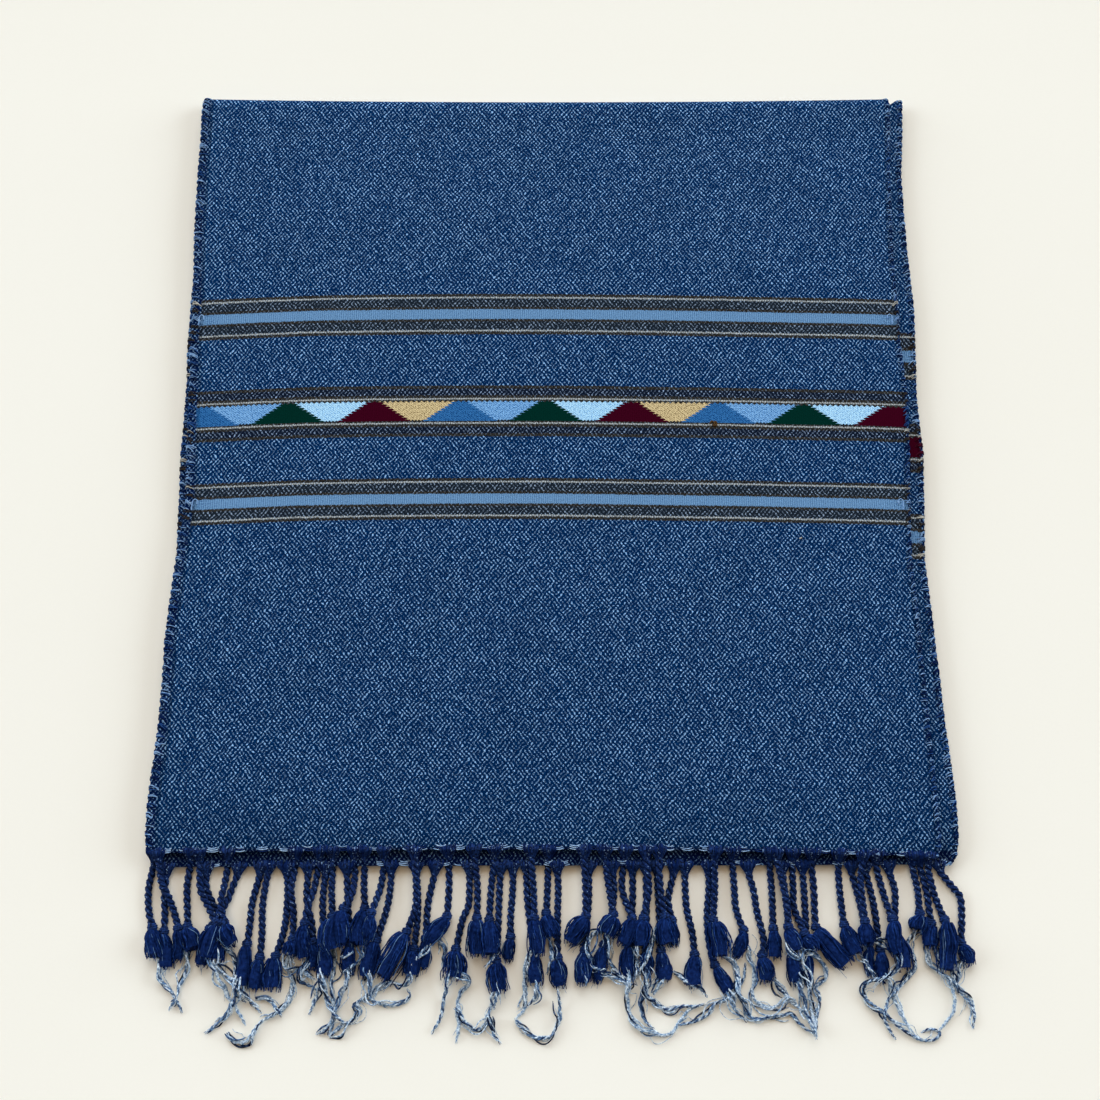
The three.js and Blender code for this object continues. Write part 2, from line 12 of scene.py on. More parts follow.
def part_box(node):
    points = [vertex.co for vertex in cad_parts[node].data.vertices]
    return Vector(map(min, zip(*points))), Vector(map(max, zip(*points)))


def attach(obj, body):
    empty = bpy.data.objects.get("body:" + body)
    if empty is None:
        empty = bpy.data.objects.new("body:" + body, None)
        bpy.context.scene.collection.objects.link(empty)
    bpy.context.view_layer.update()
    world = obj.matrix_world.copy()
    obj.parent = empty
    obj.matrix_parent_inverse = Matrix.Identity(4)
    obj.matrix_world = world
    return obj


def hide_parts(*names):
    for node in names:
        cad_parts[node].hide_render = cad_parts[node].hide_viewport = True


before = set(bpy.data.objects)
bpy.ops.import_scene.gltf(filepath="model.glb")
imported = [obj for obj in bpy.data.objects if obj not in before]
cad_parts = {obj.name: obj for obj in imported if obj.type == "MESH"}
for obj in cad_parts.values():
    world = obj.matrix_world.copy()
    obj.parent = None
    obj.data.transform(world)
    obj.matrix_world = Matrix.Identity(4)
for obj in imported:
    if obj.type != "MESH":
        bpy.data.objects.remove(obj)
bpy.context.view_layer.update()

# ---- Where the muffler lies ---------------------------------------------------------------
# The sizes below are millimetres on the folded muffler: x across the cloth from its middle,
# y from near the middle towards the top fold, z up from the table. The front panel's left
# edge and the corners of its fold say where that is in the frame.
MM = 0.001
FRONT_LEFTMOST = -163.9
FOLD_CORNERS = 220.8
front_low, front_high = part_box("front_panel")
ORIGIN = Vector((front_low.x - FRONT_LEFTMOST * MM, front_high.y - FOLD_CORNERS * MM, 0))


def put(x, y, z):
    """A place on the muffler as a place in the frame."""
    return ORIGIN + Vector((x, y, z)) * MM


# ---- Camera -------------------------------------------------------------------------------
# A 50 mm lens looks down at the cloth from the fringed side, 652 mm from its upper face.
CLOTH_TOP = 7.3
CAMERA_DISTANCE = 652.2
CAMERA_ELEVATION = math.radians(73.73)
camera = bpy.data.objects.new("camera", bpy.data.cameras.new("camera"))
camera.data.lens = 50
camera.data.sensor_width = 36
camera.data.clip_start = 0.01
back = CAMERA_DISTANCE * math.cos(CAMERA_ELEVATION)
rise = CAMERA_DISTANCE * math.sin(CAMERA_ELEVATION)
camera.location = put(0, -back, CLOTH_TOP + rise)
camera.rotation_euler = (math.pi / 2 - CAMERA_ELEVATION, 0, 0)
scene = bpy.context.scene
scene.collection.objects.link(camera)
scene.camera = camera
scene.view_settings.view_transform = "Standard"


# ---- Table and studio light ---------------------------------------------------------------
# A plain warm white table, lit by four wide soft lights: the strongest is a cool window
# behind the muffler, so the fringe lies in its shade, and a warm lamp hangs above it.
def dye(red, green, blue):
    """A colour as a painter's 0 to 255 values, made linear for the shaders."""
    def linear(part):
        part /= 255
        return part / 12.92 if part <= 0.04045 else ((part + 0.055) / 1.055) ** 2.4
    return (linear(red), linear(green), linear(blue), 1)


def even(low, high, amount):
    """The value at an amount from 0 to 1 between two others."""
    return low + (high - low) * amount


class Wire:
    """One value in a finish's nodes. Sums on it add the nodes that work them out."""

    def __init__(self, finish, socket):
        self.finish = finish
        self.socket = socket

    def math(self, operation, *others):
        return self.finish.node("ShaderNodeMath", {"operation": operation}, (self, *others))

    def __add__(self, other):
        return self.math("ADD", other)

    __radd__ = __add__

    def __sub__(self, other):
        return self.math("SUBTRACT", other)

    def __rsub__(self, other):
        return self.finish.node("ShaderNodeMath", {"operation": "SUBTRACT"}, (other, self))

    def __mul__(self, other):
        return self.math("MULTIPLY", other)

    def __truediv__(self, other):
        return self.math("DIVIDE", other)

    def __pow__(self, other):
        return self.math("POWER", other)

    def __mod__(self, other):
        return self.math("FLOORED_MODULO", other)

    def __gt__(self, other):
        return self.math("GREATER_THAN", other)

    def __abs__(self):
        return self.math("ABSOLUTE")

    def whole(self):
        return self.math("FLOOR")

    def clip(self):
        return self.finish.node("ShaderNodeClamp", {}, (self, 0.0, 1.0))


class Finish:
    """A material: one Principled shader, and the nodes that feed it."""

    def __init__(self, name, shader):
        self.material = bpy.data.materials.new(name)
        self.material.use_nodes = True
        self.tree = self.material.node_tree
        self.shader = self.tree.nodes["Principled BSDF"]
        for socket, value in shader.items():
            self.shader.inputs[socket].default_value = value

    def node(self, kind, settings, inputs, output=0):
        """A new node: its settings first, then its sockets, by order or by name."""
        node = self.tree.nodes.new(kind)
        for name, value in settings.items():
            setattr(node, name, value)
        open_sockets = [socket for socket in node.inputs if socket.enabled]
        if isinstance(inputs, dict):
            named = {socket.name: socket for socket in reversed(open_sockets)}
            pairs = [(named[name], value) for name, value in inputs.items()]
        else:
            pairs = list(zip(open_sockets, inputs))
        for socket, value in pairs:
            if isinstance(value, Wire):
                self.tree.links.new(value.socket, socket)
            else:
                socket.default_value = value
        return Wire(self, [socket for socket in node.outputs if socket.enabled][output])

    def feed(self, socket, wire):
        self.tree.links.new(wire.socket, self.shader.inputs[socket])

    def mix(self, amount, first, second):
        settings = {"data_type": "RGBA", "clamp_factor": True}
        return self.node("ShaderNodeMix", settings, (amount, first, second))

    def dim(self, colour, amount):
        vector = colour if isinstance(colour, Wire) else colour[:3]
        return self.node("ShaderNodeVectorMath", {"operation": "SCALE"}, (vector, amount))

    def vector(self, x, y, z=0.0):
        return self.node("ShaderNodeCombineXYZ", {}, (x, y, z))

    def cloud(self, place, scale, detail=2.0):
        """Soft noise from 0 to 1, so many per millimetre."""
        inputs = {"Vector": place, "Scale": scale, "Detail": detail}
        return self.node("ShaderNodeTexNoise", {}, inputs)

    def grain(self, x, y):
        """A different value from 0 to 1 for each whole x and y."""
        place = self.vector(x.whole(), y.whole())
        return self.node("ShaderNodeTexWhiteNoise", {"noise_dimensions": "2D"}, (place,))

    def body_place(self):
        """The place on the object, in millimetres."""
        place = self.node("ShaderNodeTexCoord", {}, (), output=3)
        return self.node("ShaderNodeVectorMath", {"operation": "SCALE"}, (place, 1 / MM))

    def bump(self, height, strength, distance):
        inputs = {"Strength": strength, "Distance": distance * MM, "Height": height}
        self.feed("Normal", self.node("ShaderNodeBump", {}, inputs))


def shape(name, build, finishes):
    """A new object whose mesh is made by a function that fills a bmesh."""
    mesh = bpy.data.meshes.new(name)
    bm = bmesh.new()
    build(bm)
    bm.to_mesh(mesh)
    bm.free()
    piece = bpy.data.objects.new(name, mesh)
    scene.collection.objects.link(piece)
    for finish in finishes:
        mesh.materials.append(finish.material)
    return piece


def table_finish():
    finish = Finish("table_paper", {"Roughness": 0.85, "Specular IOR Level": 0.2})
    place = finish.body_place()
    patch = finish.cloud(place, 0.004)
    fleck = finish.cloud(place, 0.9)
    shade = finish.mix(patch, dye(243, 240, 229), dye(246, 244, 234))
    finish.feed("Base Color", finish.dim(shade, 0.99 + fleck * 0.02))
    return finish


table = shape(
    "table",
    lambda bm: bmesh.ops.create_grid(bm, x_segments=2, y_segments=2, size=4),
    [table_finish()],
)

LAMPS = [
    # name, share of the light on the table, angle it spans, colour, where it stands
    ("back_window", 0.38, 60, (0.93, 1.0, 1.07), (-0.05, 0.82, 0.57)),
    ("top_lamp", 0.18, 60, (1.4, 1.0, 0.6), (0, 0.1, 1)),
    ("left_window", 0.18, 44, (0.87, 1.0, 1.13), (-0.9, 0.22, 0.34)),
    ("right_window", 0.2, 44, (0.87, 1.0, 1.13), (0.9, 0.22, 0.34)),
]
for lamp_name, share, span, colour, stands in LAMPS:
    away = Vector(stands).normalized()
    lamp = bpy.data.lights.new(lamp_name, "SUN")
    lamp.energy = share * math.pi / away.z
    lamp.angle = math.radians(span)
    lamp.color = colour
    hung = bpy.data.objects.new(lamp_name, lamp)
    hung.rotation_euler = away.to_track_quat("Z", "Y").to_euler()
    scene.collection.objects.link(hung)

room = bpy.data.worlds.new("room")
room.use_nodes = True
room.node_tree.nodes["Background"].inputs["Color"].default_value = (0.9, 1, 1.1, 1)
room.node_tree.nodes["Background"].inputs["Strength"].default_value = 0.08
scene.world = room


# ---- Front cloth --------------------------------------------------------------------------
# The end that lies on top, from its hem along the top face, round the fold and down to the
# table. It is a diamond twill of light blue on navy cotton, with two stripe bands and
# between them a tapestry band of stepped triangles.
LAYER = 1.9  # rise from one layer of cloth to the next
CLOTH = 1.6  # thickness of one layer
WALL = 1.5  # thickness that is modelled, so that layers stay clear of each other
TAIL_UNDER = 2  # how far an end runs on under its fold
THIN_RIGHT = 2.6  # the right selvedge is packed this much narrower than the left one

FRONT_EDGES = [
    # y, left, right
    (-127, -161.2, 156.4), (-124.5, -163.2, 157.7), (-119, -163.9, 158.1),
    (-106, -163.8, 157.7), (-73, -161.6, 156.7), (-39, -161.6, 155.7), (-4, -159.5, 154.2),
    (22, -156.9, 155.1), (45, -158.0, 156.4), (69, -158.6, 157.3), (97, -159.9, 155.6),
    (117, -159.6, 155.5), (147, -161.5, 155.2), (177, -161.9, 156.2), (214, -161.8, 158.2),
    (221, -161.0, 158.0),
]
SECOND_EDGES = [
    (-132.4, -158.6, 162.2), (-129.5, -160.4, 164.8), (-122, -161.2, 165.8),
    (-106, -161.5, 165.9), (-73, -160.5, 163.7), (-39, -160.2, 162.0), (-4, -159.8, 160.2),
    (22, -160.3, 161.6), (45, -161.0, 162.7), (69, -160.4, 161.7), (97, -161.4, 162.7),
    (117, -161.2, 163.2), (147, -160.4, 162.0), (177, -160.0, 161.7), (214, -159.0, 164.7),
    (221, -159.0, 165.0),
]


def blend_step(value, low, high):
    """0 below low, 1 above high, and an even bend between."""
    t = min(max((value - low) / (high - low), 0), 1)
    return t * t * (3 - 2 * t)


def wobble(x, y, z):
    """Smooth noise from -1 to 1."""
    return noise.noise(Vector((x, y, z)))


def edge_at(edges, y, side):
    """The x of a long edge at y: side 1 is the left one and 2 the right."""
    ys = [row[0] for row in edges]
    xs = [row[side] for row in edges]
    return float(np.interp(y, ys, xs)) + 0.25 * wobble(y * 0.11, side * 7.3, 0.4)


SOFT_CREASES = [
    # x, y, half length, half width, turn, height: low ridges left by storing it folded
    (-92, 168, 70, 9, 84, 0.35), (38, 150, 55, 12, 96, 0.28), (112, 172, 48, 8, 80, 0.3),
    (-40, -70, 60, 11, 97, 0.3), (78, -48, 66, 10, 86, 0.32), (-118, -52, 44, 8, 78, 0.26),
    (10, 40, 90, 14, 4, 0.2), (20, 92, 110, 12, 178, 0.22),
]


def puff(x, y):
    """How much the front cloth stands above lying dead flat."""
    height = 0.22 + 0.22 * wobble(x * 0.018, y * 0.02, 3.1)
    height += 0.1 * wobble(x * 0.06, y * 0.05, 8.2)
    for crease_x, crease_y, long, wide, turn, high in SOFT_CREASES:
        angle = math.radians(turn)
        along = (x - crease_x) * math.cos(angle) + (y - crease_y) * math.sin(angle)
        aside = (y - crease_y) * math.cos(angle) - (x - crease_x) * math.sin(angle)
        height += high * math.exp(-((along / long) ** 2) - (aside / wide) ** 2)
    return max(height, 0.0)


class Sheet:
    """One end of the muffler: its edges, and how it lies seen from the side."""

    def __init__(self, edges, height, sink, swell, radius, reach, hem_bow, flare, lift):
        self.edges = edges
        self.height = height
        self.sink = sink
        self.swell = swell
        self.radius = radius
        self.fold_y = reach - radius - CLOTH / 2
        self.hem_bow = hem_bow
        self.flare = flare
        self.lift = lift
        self.hem = edges[0][0]

    def height_at(self, y):
        """Height of the middle of the cloth's thickness on the upper run."""
        sunk = self.sink * blend_step(-y, 122, -self.hem)
        return self.height - sunk + self.swell * blend_step(y, 198, 214)

    def side(self, run):
        """y, z and outward y, z at a distance along the cloth, counted as y on the top."""
        if run <= self.fold_y:
            slope = self.height_at(run + 0.5) - self.height_at(run - 0.5)
            return run, self.height_at(run), -slope, 1.0
        centre_z = self.height + self.swell - self.radius
        angle = math.pi / 2 - (run - self.fold_y) / self.radius
        if angle > -math.pi / 2:
            out_y, out_z = math.cos(angle), math.sin(angle)
            return self.fold_y + out_y * self.radius, centre_z + out_z * self.radius, out_y, out_z
        past = run - self.fold_y - math.pi * self.radius
        return self.fold_y - past, centre_z - self.radius, 0.0, -1.0

    def bow(self, across, y):
        """How far the fold and the hem bow at a place across the cloth."""
        off = 2 * across - 1
        fold = 0.8 * (2 * off**2 - 1) * blend_step(y, 150, 216)
        left, middle, right = self.hem_bow
        hem = even(middle, left if across < 0.5 else right, off**2)
        stands_out = self.flare * blend_step(across, 0.982, 0.991) * blend_step(y, 205, 216)
        return fold + hem * (1 - blend_step(y, -127, -100)) + stands_out

    def hem_at(self, x):
        left, right = self.edges[0][1:]
        return self.hem + self.bow((x - left) / (right - left), self.hem)

    def top_at(self, x, y):
        """Height of the upper face."""
        return self.height_at(y) + WALL / 2 + self.lift(x, y)


FRONT = Sheet(
    FRONT_EDGES, height=3 * LAYER + CLOTH / 2, sink=0.6, swell=0.6, radius=3.15, reach=220,
    hem_bow=(-0.5, 1, -2), flare=0, lift=puff
)


def runs_of(sheet):
    """Where a sheet has its rows of points: even on the flat, close together round the fold."""
    flat = np.linspace(sheet.hem, sheet.fold_y, 132)
    bend = sheet.fold_y + math.pi * sheet.radius * np.linspace(0, 1, 17)[1:]
    return [*flat, *bend, *(bend[-1] + np.linspace(0, TAIL_UNDER, 3)[1:])]


SAG = [
    # x, how far the stripes dip there
    (-162, 3.6), (-151, 2.9), (-129, 1.8), (-108, 0.9), (-75, 0.35), (-34, 0), (0, 0.05),
    (34, 0.5), (75, 1.05), (107, 1.75), (140, 2.4), (157, 3.1), (168, 3.3),
]


def sag(x):
    return float(np.interp(x, *zip(*SAG)))


def lay_cloth(bm, columns, runs, lay):
    """Fills a bmesh with a grid of cloth and two maps of its weave, in millimetres: the place
    on the pattern, and the distance from the nearest selvedge and from the hem's dark rows,
    which are packed weave and, on the second cloth, painted shade.
    lay gives all three for a point, from its share across the cloth and its run along it."""
    rows = len(runs) - 1
    bmesh.ops.create_grid(bm, x_segments=columns, y_segments=rows, size=0.5)
    weave = bm.loops.layers.uv.new("weave")
    selvedge = bm.loops.layers.uv.new("selvedge")
    maps = {}
    for vert in bm.verts:
        run = runs[round((vert.co.y + 0.5) * rows)]
        place, pattern, from_edges = lay(vert.co.x + 0.5, run)
        vert.co = place
        maps[vert] = (pattern, from_edges)
    for face in bm.faces:
        face.smooth = True
        for loop in face.loops:
            loop[weave].uv, loop[selvedge].uv = maps[loop.vert]


def thicken(piece):
    wall = piece.modifiers.new("thickness", "SOLIDIFY")
    wall.thickness = WALL * MM
    wall.offset = 0


def weave_sheet(name, sheet, pattern_shift, packed_hem_and_shade, finish):
    """One end of the muffler as a thin wall of cloth with soft rims."""
    def lay(across, run):
        y, z, out_y, out_z = sheet.side(run)
        left, right = edge_at(sheet.edges, y, 1), edge_at(sheet.edges, y, 2)
        x = even(left, right, across)
        up = sheet.lift(x, y) if run <= sheet.fold_y else 0
        place = put(x, y + sheet.bow(across, y) + out_y * up, z + out_z * up)
        edge = min(x - left, right - x + THIN_RIGHT)
        pattern = (x, run + pattern_shift(run) + sag(x))
        # The dark rows at a hem run this far from it: the packed hem weave, and on the second cloth
        # also painted shade under the front's hem.
        return place, pattern, (edge, run - sheet.hem - packed_hem_and_shade)

    piece = shape(name, lambda bm: lay_cloth(bm, 120, runs_of(sheet), lay), [finish])
    thicken(piece)
    rim = piece.modifiers.new("soft rim", "BEVEL")
    rim.width = 0.45 * MM
    rim.segments = 2
    rim.limit_method = "ANGLE"
    rim.angle_limit = math.radians(60)
    return piece


NAVY = dye(0, 19, 54)
NAVY_LIGHT = dye(2, 47, 95)
FLOAT = dye(156, 203, 250)
CHARCOAL = dye(24, 33, 44)
ASH = dye(150, 172, 198)
BROWN = dye(56, 52, 44)
CREAM = dye(202, 210, 212)
SKY = dye(118, 160, 200)
SKY_DARK = dye(54, 93, 138)
GREEN = dye(2, 42, 36)
MAROON = dye(56, 4, 24)
LIGHT_BLUE = dye(128, 180, 230)
PALE_BLUE = dye(182, 228, 255)
TAN = dye(218, 198, 150)

TWILL_END = 1.85  # width of one repeat of the twill across the cloth
TWILL_PICK = 2.3  # and along it
STRIPE_BANDS = [(109.8, 1.03), (23.1, 0.97)]  # middle and scale of each stripe band
BORDER_MIDDLE = 63.6  # middle of the charcoal band that holds the triangles
TRIANGLES_TOP = 68.0
TRIANGLES_HIGH = 9.4
TRIANGLE_PITCH = 37.66
TRIANGLE_MIDDLE = -1.75  # x of the middle triangle
STEPS = 9  # in a triangle's slanting side
STEP_WIDE = 1.5  # how much wider a triangle is with each step down
CREST_HALF = 4.3  # half the width of its top step
LAST_TRIANGLE = 4  # this many pitches from the middle, the row ends in a dark block


def within(value, low, high, soft=0.14):
    """1 between two values, with soft ends."""
    return ((value - low) / soft + 0.5).clip() * ((high - value) / soft + 0.5).clip()


def zigzag(value):
    """1 at each whole value and 0 half way between them."""
    return abs(value % 1.0 - 0.5) * 2


def twill_floats(finish, x, y):
    """How light each float of the broken diamond twill is. Its lines lean both ways, one or
    the other stronger in patches, and each float where they cross has its own strength."""
    def drift(seed, often, detail=1.0):
        return finish.cloud(finish.vector(x * often, y * often, seed), 1.0, detail) - 0.5

    across, along = x / TWILL_END, y / TWILL_PICK
    rising = across - along + drift(0.0, 0.3) * 1.1
    falling = across + along + drift(7.0, 0.3) * 1.1
    crests = [(line * (2 * math.pi)).math("COSINE") * 0.5 + 0.5 for line in (rising, falling)]
    lean = (drift(3.0, 0.28, 2.0) * 8.0 + 0.5).clip() * 0.4 + 0.3
    ridge = crests[0] + (crests[1] - crests[0]) * lean
    own = finish.grain(rising + 0.5, falling + 0.5) ** 1.5
    light = own * 0.66 + 0.1 + drift(5.0, 2.3, 0.0) * 2.9
    return ((ridge - 0.59) * 4.6).clip() * light.clip()


def tapestry(finish, x, y):
    """Stepped triangles: dark ones stand on their long side, light ones hang between."""
    down = (TRIANGLES_TOP - y) / (TRIANGLES_HIGH / STEPS)
    from_crest = (down % 1.0 - 0.5) * 2
    count = (x - TRIANGLE_MIDDLE) / TRIANGLE_PITCH
    from_middle = abs((count + 0.5) % 1.0 - 0.5) * TRIANGLE_PITCH
    half = down.whole() * STEP_WIDE + CREST_HALF - from_crest * from_crest
    standing = ((half - from_middle) * 3.0).clip() + (abs(count) > LAST_TRIANGLE)
    turn = (count + 0.5).whole() % 3.0
    gap_turn = count.whole() % 3.0
    slant = 1 - zigzag(x * 0.8 + y)
    spots = finish.cloud(finish.vector(x, y), 1.5, 1.0)
    mottle = (slant * 0.9 + spots * 3.6 - 1.95).clip()
    tan = finish.mix(mottle * 0.9, TAN, dye(112, 92, 62))
    light_blue = finish.mix(mottle, LIGHT_BLUE, dye(40, 98, 160))
    pale = finish.mix(mottle * 0.9, PALE_BLUE, dye(96, 154, 210))
    middle_blue = finish.mix(mottle, dye(52, 112, 172), dye(8, 58, 114))
    dark = finish.mix(turn > 0.5, GREEN, finish.mix(turn > 1.5, MAROON, middle_blue))
    light = finish.mix(gap_turn > 0.5, pale, finish.mix(gap_turn > 1.5, tan, light_blue))
    rough = zigzag(x / 1.45) * 0.55
    light = finish.mix(down > STEPS - 1.0 + rough, light, CHARCOAL)
    return finish.mix(standing.clip(), light, dark)


def cloth_finish():
    finish = Finish("woven_cloth", {"Roughness": 0.95, "Specular IOR Level": 0})
    weave = finish.node("ShaderNodeUVMap", {"uv_map": "weave"}, ())
    x = finish.node("ShaderNodeSeparateXYZ", {}, (weave,))
    y = finish.node("ShaderNodeSeparateXYZ", {}, (weave,), output=1)
    edges = finish.node("ShaderNodeUVMap", {"uv_map": "selvedge"}, ())
    edge = finish.node("ShaderNodeSeparateXYZ", {}, (edges,))
    from_hem = finish.node("ShaderNodeSeparateXYZ", {}, (edges,), output=1)

    floats = twill_floats(finish, x, y)
    patch = finish.cloud(weave, 0.03, 3.0)
    speck = finish.cloud(weave, 1.1, 2.0)
    fine = finish.cloud(weave, 1.6, 1.0)
    ground = finish.mix(floats, finish.mix((speck * 2 - 0.5).clip(), NAVY, NAVY_LIGHT), FLOAT)
    # Painted light and shade: the cloth is made a little lighter towards the top fold, and darker
    # over the last 26 mm before a hem.
    painted_hem_shade = (1 - from_hem / 26).clip()
    ground = finish.dim(ground, 0.83 + patch * 0.3 + y * 0.0005 - painted_hem_shade * 0.12)

    # The stripes' edges follow single yarns, and their ends fade into the selvedge.
    yarn = finish.cloud(finish.vector(x * 1.3, y * 0.3), 1.0, 1.0)
    band_y = y + (yarn - 0.5) * 0.9
    charcoal = finish.mix(floats * 0.95, CHARCOAL, ASH)
    charcoal_line = finish.mix((fine * 3.4 - 1.2).clip(), dye(14, 16, 22), BROWN)
    charcoal_line = finish.mix(floats * 0.4, charcoal_line, ASH)
    bluish = finish.mix(floats * 0.95, dye(14, 24, 42), dye(150, 174, 206))
    bead = 1 - zigzag(x / 1.05 + yarn)
    beads = (0.25 + bead * 0.75) * (fine * 1.7 - 0.1).clip()
    rib = zigzag(x / 0.95)
    ends = ((14 - edge) / 14).clip()
    sky = finish.mix((rib * 0.6 + (fine * 2.6 - 1.1).clip() * (0.5 + ends)).clip(), SKY, SKY_DARK)
    colour = ground
    raised = floats * 0.6
    stripe = [
        # from and to, out from the band's middle, and what is woven there
        (-9, 9.6, charcoal), (8.3, 9.6, charcoal_line), (2.2, 3.5, charcoal_line),
    ]
    border = [
        (-12, 11.9, bluish), (10.5, 11.9, charcoal_line), (6.1, 7.4, charcoal_line),
        (-5, 6.2, charcoal_line),
    ]
    for middle, scale in STRIPE_BANDS:
        off = abs(band_y - middle) / scale
        for low, high, yarns in stripe:
            colour = finish.mix(within(off, low, high), colour, yarns)
        cream = within(off, 7.5, 8.2) * beads
        colour = finish.mix(cream, colour, CREAM)
        colour = finish.mix(within(off, -3, 2.15 + rib * 0.3), colour, sky)
        raised = raised + cream
    off = abs(band_y - BORDER_MIDDLE)
    for low, high, yarns in border:
        colour = finish.mix(within(off, low, high), colour, yarns)
    colour = finish.mix(within(off, 5.35, 6.05) * beads, colour, CREAM)
    picture = finish.dim(tapestry(finish, x, y), 1.1 - rib * 0.14 - fine * 0.12)
    tooth = (1 - zigzag(x / 2.3)) * 0.9 - 0.4
    low = TRIANGLES_TOP - TRIANGLES_HIGH + 0.3
    colour = finish.mix(within(y, low, TRIANGLES_TOP + tooth), colour, picture)

    # The selvedge is packed denser and darker: the stripes' yarns turn back short of it.
    rough = (speck - 0.5) * 2
    packed = ((4.1 - edge + rough) / 0.8).clip()
    colour = finish.mix(packed, colour, finish.mix(floats * 0.7, dye(2, 20, 58), FLOAT))
    colour = finish.dim(colour, 1 - within(edge, 3.8, 5.0, 0.8) * 0.35)
    # Dark rows at the hem: the packed hem weave, and on the second cloth also painted shade where the
    # front's hem overhangs it.
    hem_rows_and_shade = ((rough - from_hem) / 1.2 + 0.5).clip()
    colour = finish.mix(hem_rows_and_shade, colour, finish.mix(floats * 0.35, dye(2, 13, 48), FLOAT))
    finish.feed("Base Color", colour)
    finish.bump(raised + rib * 0.1 + fine * 0.25, 0.4, 0.35)
    return finish


woven_cloth = cloth_finish()
front_cloth = weave_sheet(
    "front_cloth", FRONT, lambda run: 0, packed_hem_and_shade=1.2, finish=woven_cloth
)
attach(front_cloth, "root")
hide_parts("front_panel")


# ---- Second cloth -------------------------------------------------------------------------
# The other end, just below and 6 mm to the right, with its own fold inside the front's. Its
# bands were woven a little nearer to the hem.
NEARER_BANDS = [
    # run, how much nearer to the hem the pattern comes there
    (3, 14.3), (9, 13.3), (15, 12.6), (42, 13.1), (53, 13.1), (80.5, 18.0), (92.7, 16.1), (99.7, 15),
]


def nearer_bands(run):
    return float(np.interp(run, *zip(*NEARER_BANDS)))


SECOND = Sheet(
    SECOND_EDGES, height=2 * LAYER + CLOTH / 2, sink=1.7, swell=0, radius=0.95, reach=217.7,
    hem_bow=(-0.3, 0.4, 0.9), flare=1.9, lift=lambda x, y: 0
)
# Its dark hem rows reach 5.6 mm up: painted shade where the front's hem overhangs it.
second_cloth = weave_sheet(
    "second_cloth", SECOND, nearer_bands, packed_hem_and_shade=5.6, finish=woven_cloth
)
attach(second_cloth, "root")
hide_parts("second_panel")


# ---- Middle cloth -------------------------------------------------------------------------
# The plain middle of the muffler: it comes back under the two ends, turns round the middle
# fold near the hems and runs forward again, so it makes the two lowest layers.
MIDDLE_FOLD = -121.5
TAIL = 213.0
MIDDLE_RADIUS = LAYER / 2
MIDDLE_CENTRE = MIDDLE_FOLD + MIDDLE_RADIUS + CLOTH / 2  # y of the middle fold's own axis
MIDDLE_FLAT = TAIL - MIDDLE_CENTRE  # length of each of the two flat layers
MIDDLE_TURN = math.pi * MIDDLE_RADIUS
PLAIN_FROM = 240  # the two layers' pattern starts this far along, past every band
INSIDE = 1  # their edges stay this far inside the ends' edges
PAST_HEM = 9  # they are woven as if this far from a hem, past its packed rows and painted shade


def middle_side(run):
    """y and z from the top fold along the table, round the middle fold and back above."""
    if run < MIDDLE_FLAT:
        return TAIL - run, CLOTH / 2
    if run < MIDDLE_FLAT + MIDDLE_TURN:
        angle = -math.pi / 2 - (run - MIDDLE_FLAT) / MIDDLE_RADIUS
        y = MIDDLE_CENTRE + math.cos(angle) * MIDDLE_RADIUS
        return y, CLOTH / 2 + MIDDLE_RADIUS * (1 + math.sin(angle))
    return MIDDLE_CENTRE + (run - MIDDLE_FLAT - MIDDLE_TURN), CLOTH / 2 + LAYER


def lay_middle(across, run):
    y, z = middle_side(run)
    upper = blend_step(run, MIDDLE_FLAT, MIDDLE_FLAT + MIDDLE_TURN)
    left = even(edge_at(FRONT_EDGES, y, 1), edge_at(SECOND_EDGES, y, 1), upper) + INSIDE
    right = even(edge_at(FRONT_EDGES, y, 2), edge_at(SECOND_EDGES, y, 2), upper) - INSIDE
    x = even(left, right, across)
    return put(x, y, z), (x, PLAIN_FROM + run), (min(x - left, right - x), PAST_HEM)


middle_runs = [
    *np.linspace(0, MIDDLE_FLAT, 70),
    *(MIDDLE_FLAT + MIDDLE_TURN * np.linspace(0, 1, 13)[1:]),
    *(MIDDLE_FLAT + MIDDLE_TURN + np.linspace(0, MIDDLE_FLAT, 70)[1:]),
]
middle_cloth = shape(
    "middle_cloth", lambda bm: lay_cloth(bm, 80, middle_runs, lay_middle), [woven_cloth]
)
thicken(middle_cloth)
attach(middle_cloth, "root")
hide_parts("hidden_layers")


# ---- Selvedges ----------------------------------------------------------------------------
# At the cloth's long edges the weft turns back over a thick blue edge cord. It makes a row
# of soft lumps with light threads bent round them, in the stripes' own colours there.
def yarn_finish(name, dark, light, scale=0.7, start=0.29, contrast=2.4, gloss=0.03, shade_grooves=False):
    """Yarn whose light part starts at some value of the noise along it. In a cord, painted shade
    darkens the grooves between its plies, so only their crests are light."""
    finish = Finish(name, {"Roughness": 0.75, "Specular IOR Level": gloss})
    place = finish.body_place()
    pale_and_crest_light = ((finish.cloud(place, scale, 3.0) - start) * contrast).clip()
    # Painted shade: a cord's yarn darkens towards the cord's middle, into the grooves between its
    # plies.
    if shade_grooves:
        proud = finish.node("ShaderNodeAttribute", {"attribute_name": "proud"}, (), output=2)
        pale_and_crest_light = pale_and_crest_light * ((proud - 0.5) * 2.4).clip()
    finish.feed("Base Color", finish.mix(pale_and_crest_light, dark, light))
    finish.bump(finish.cloud(place, 4.0), 0.3, 0.15)
    return finish


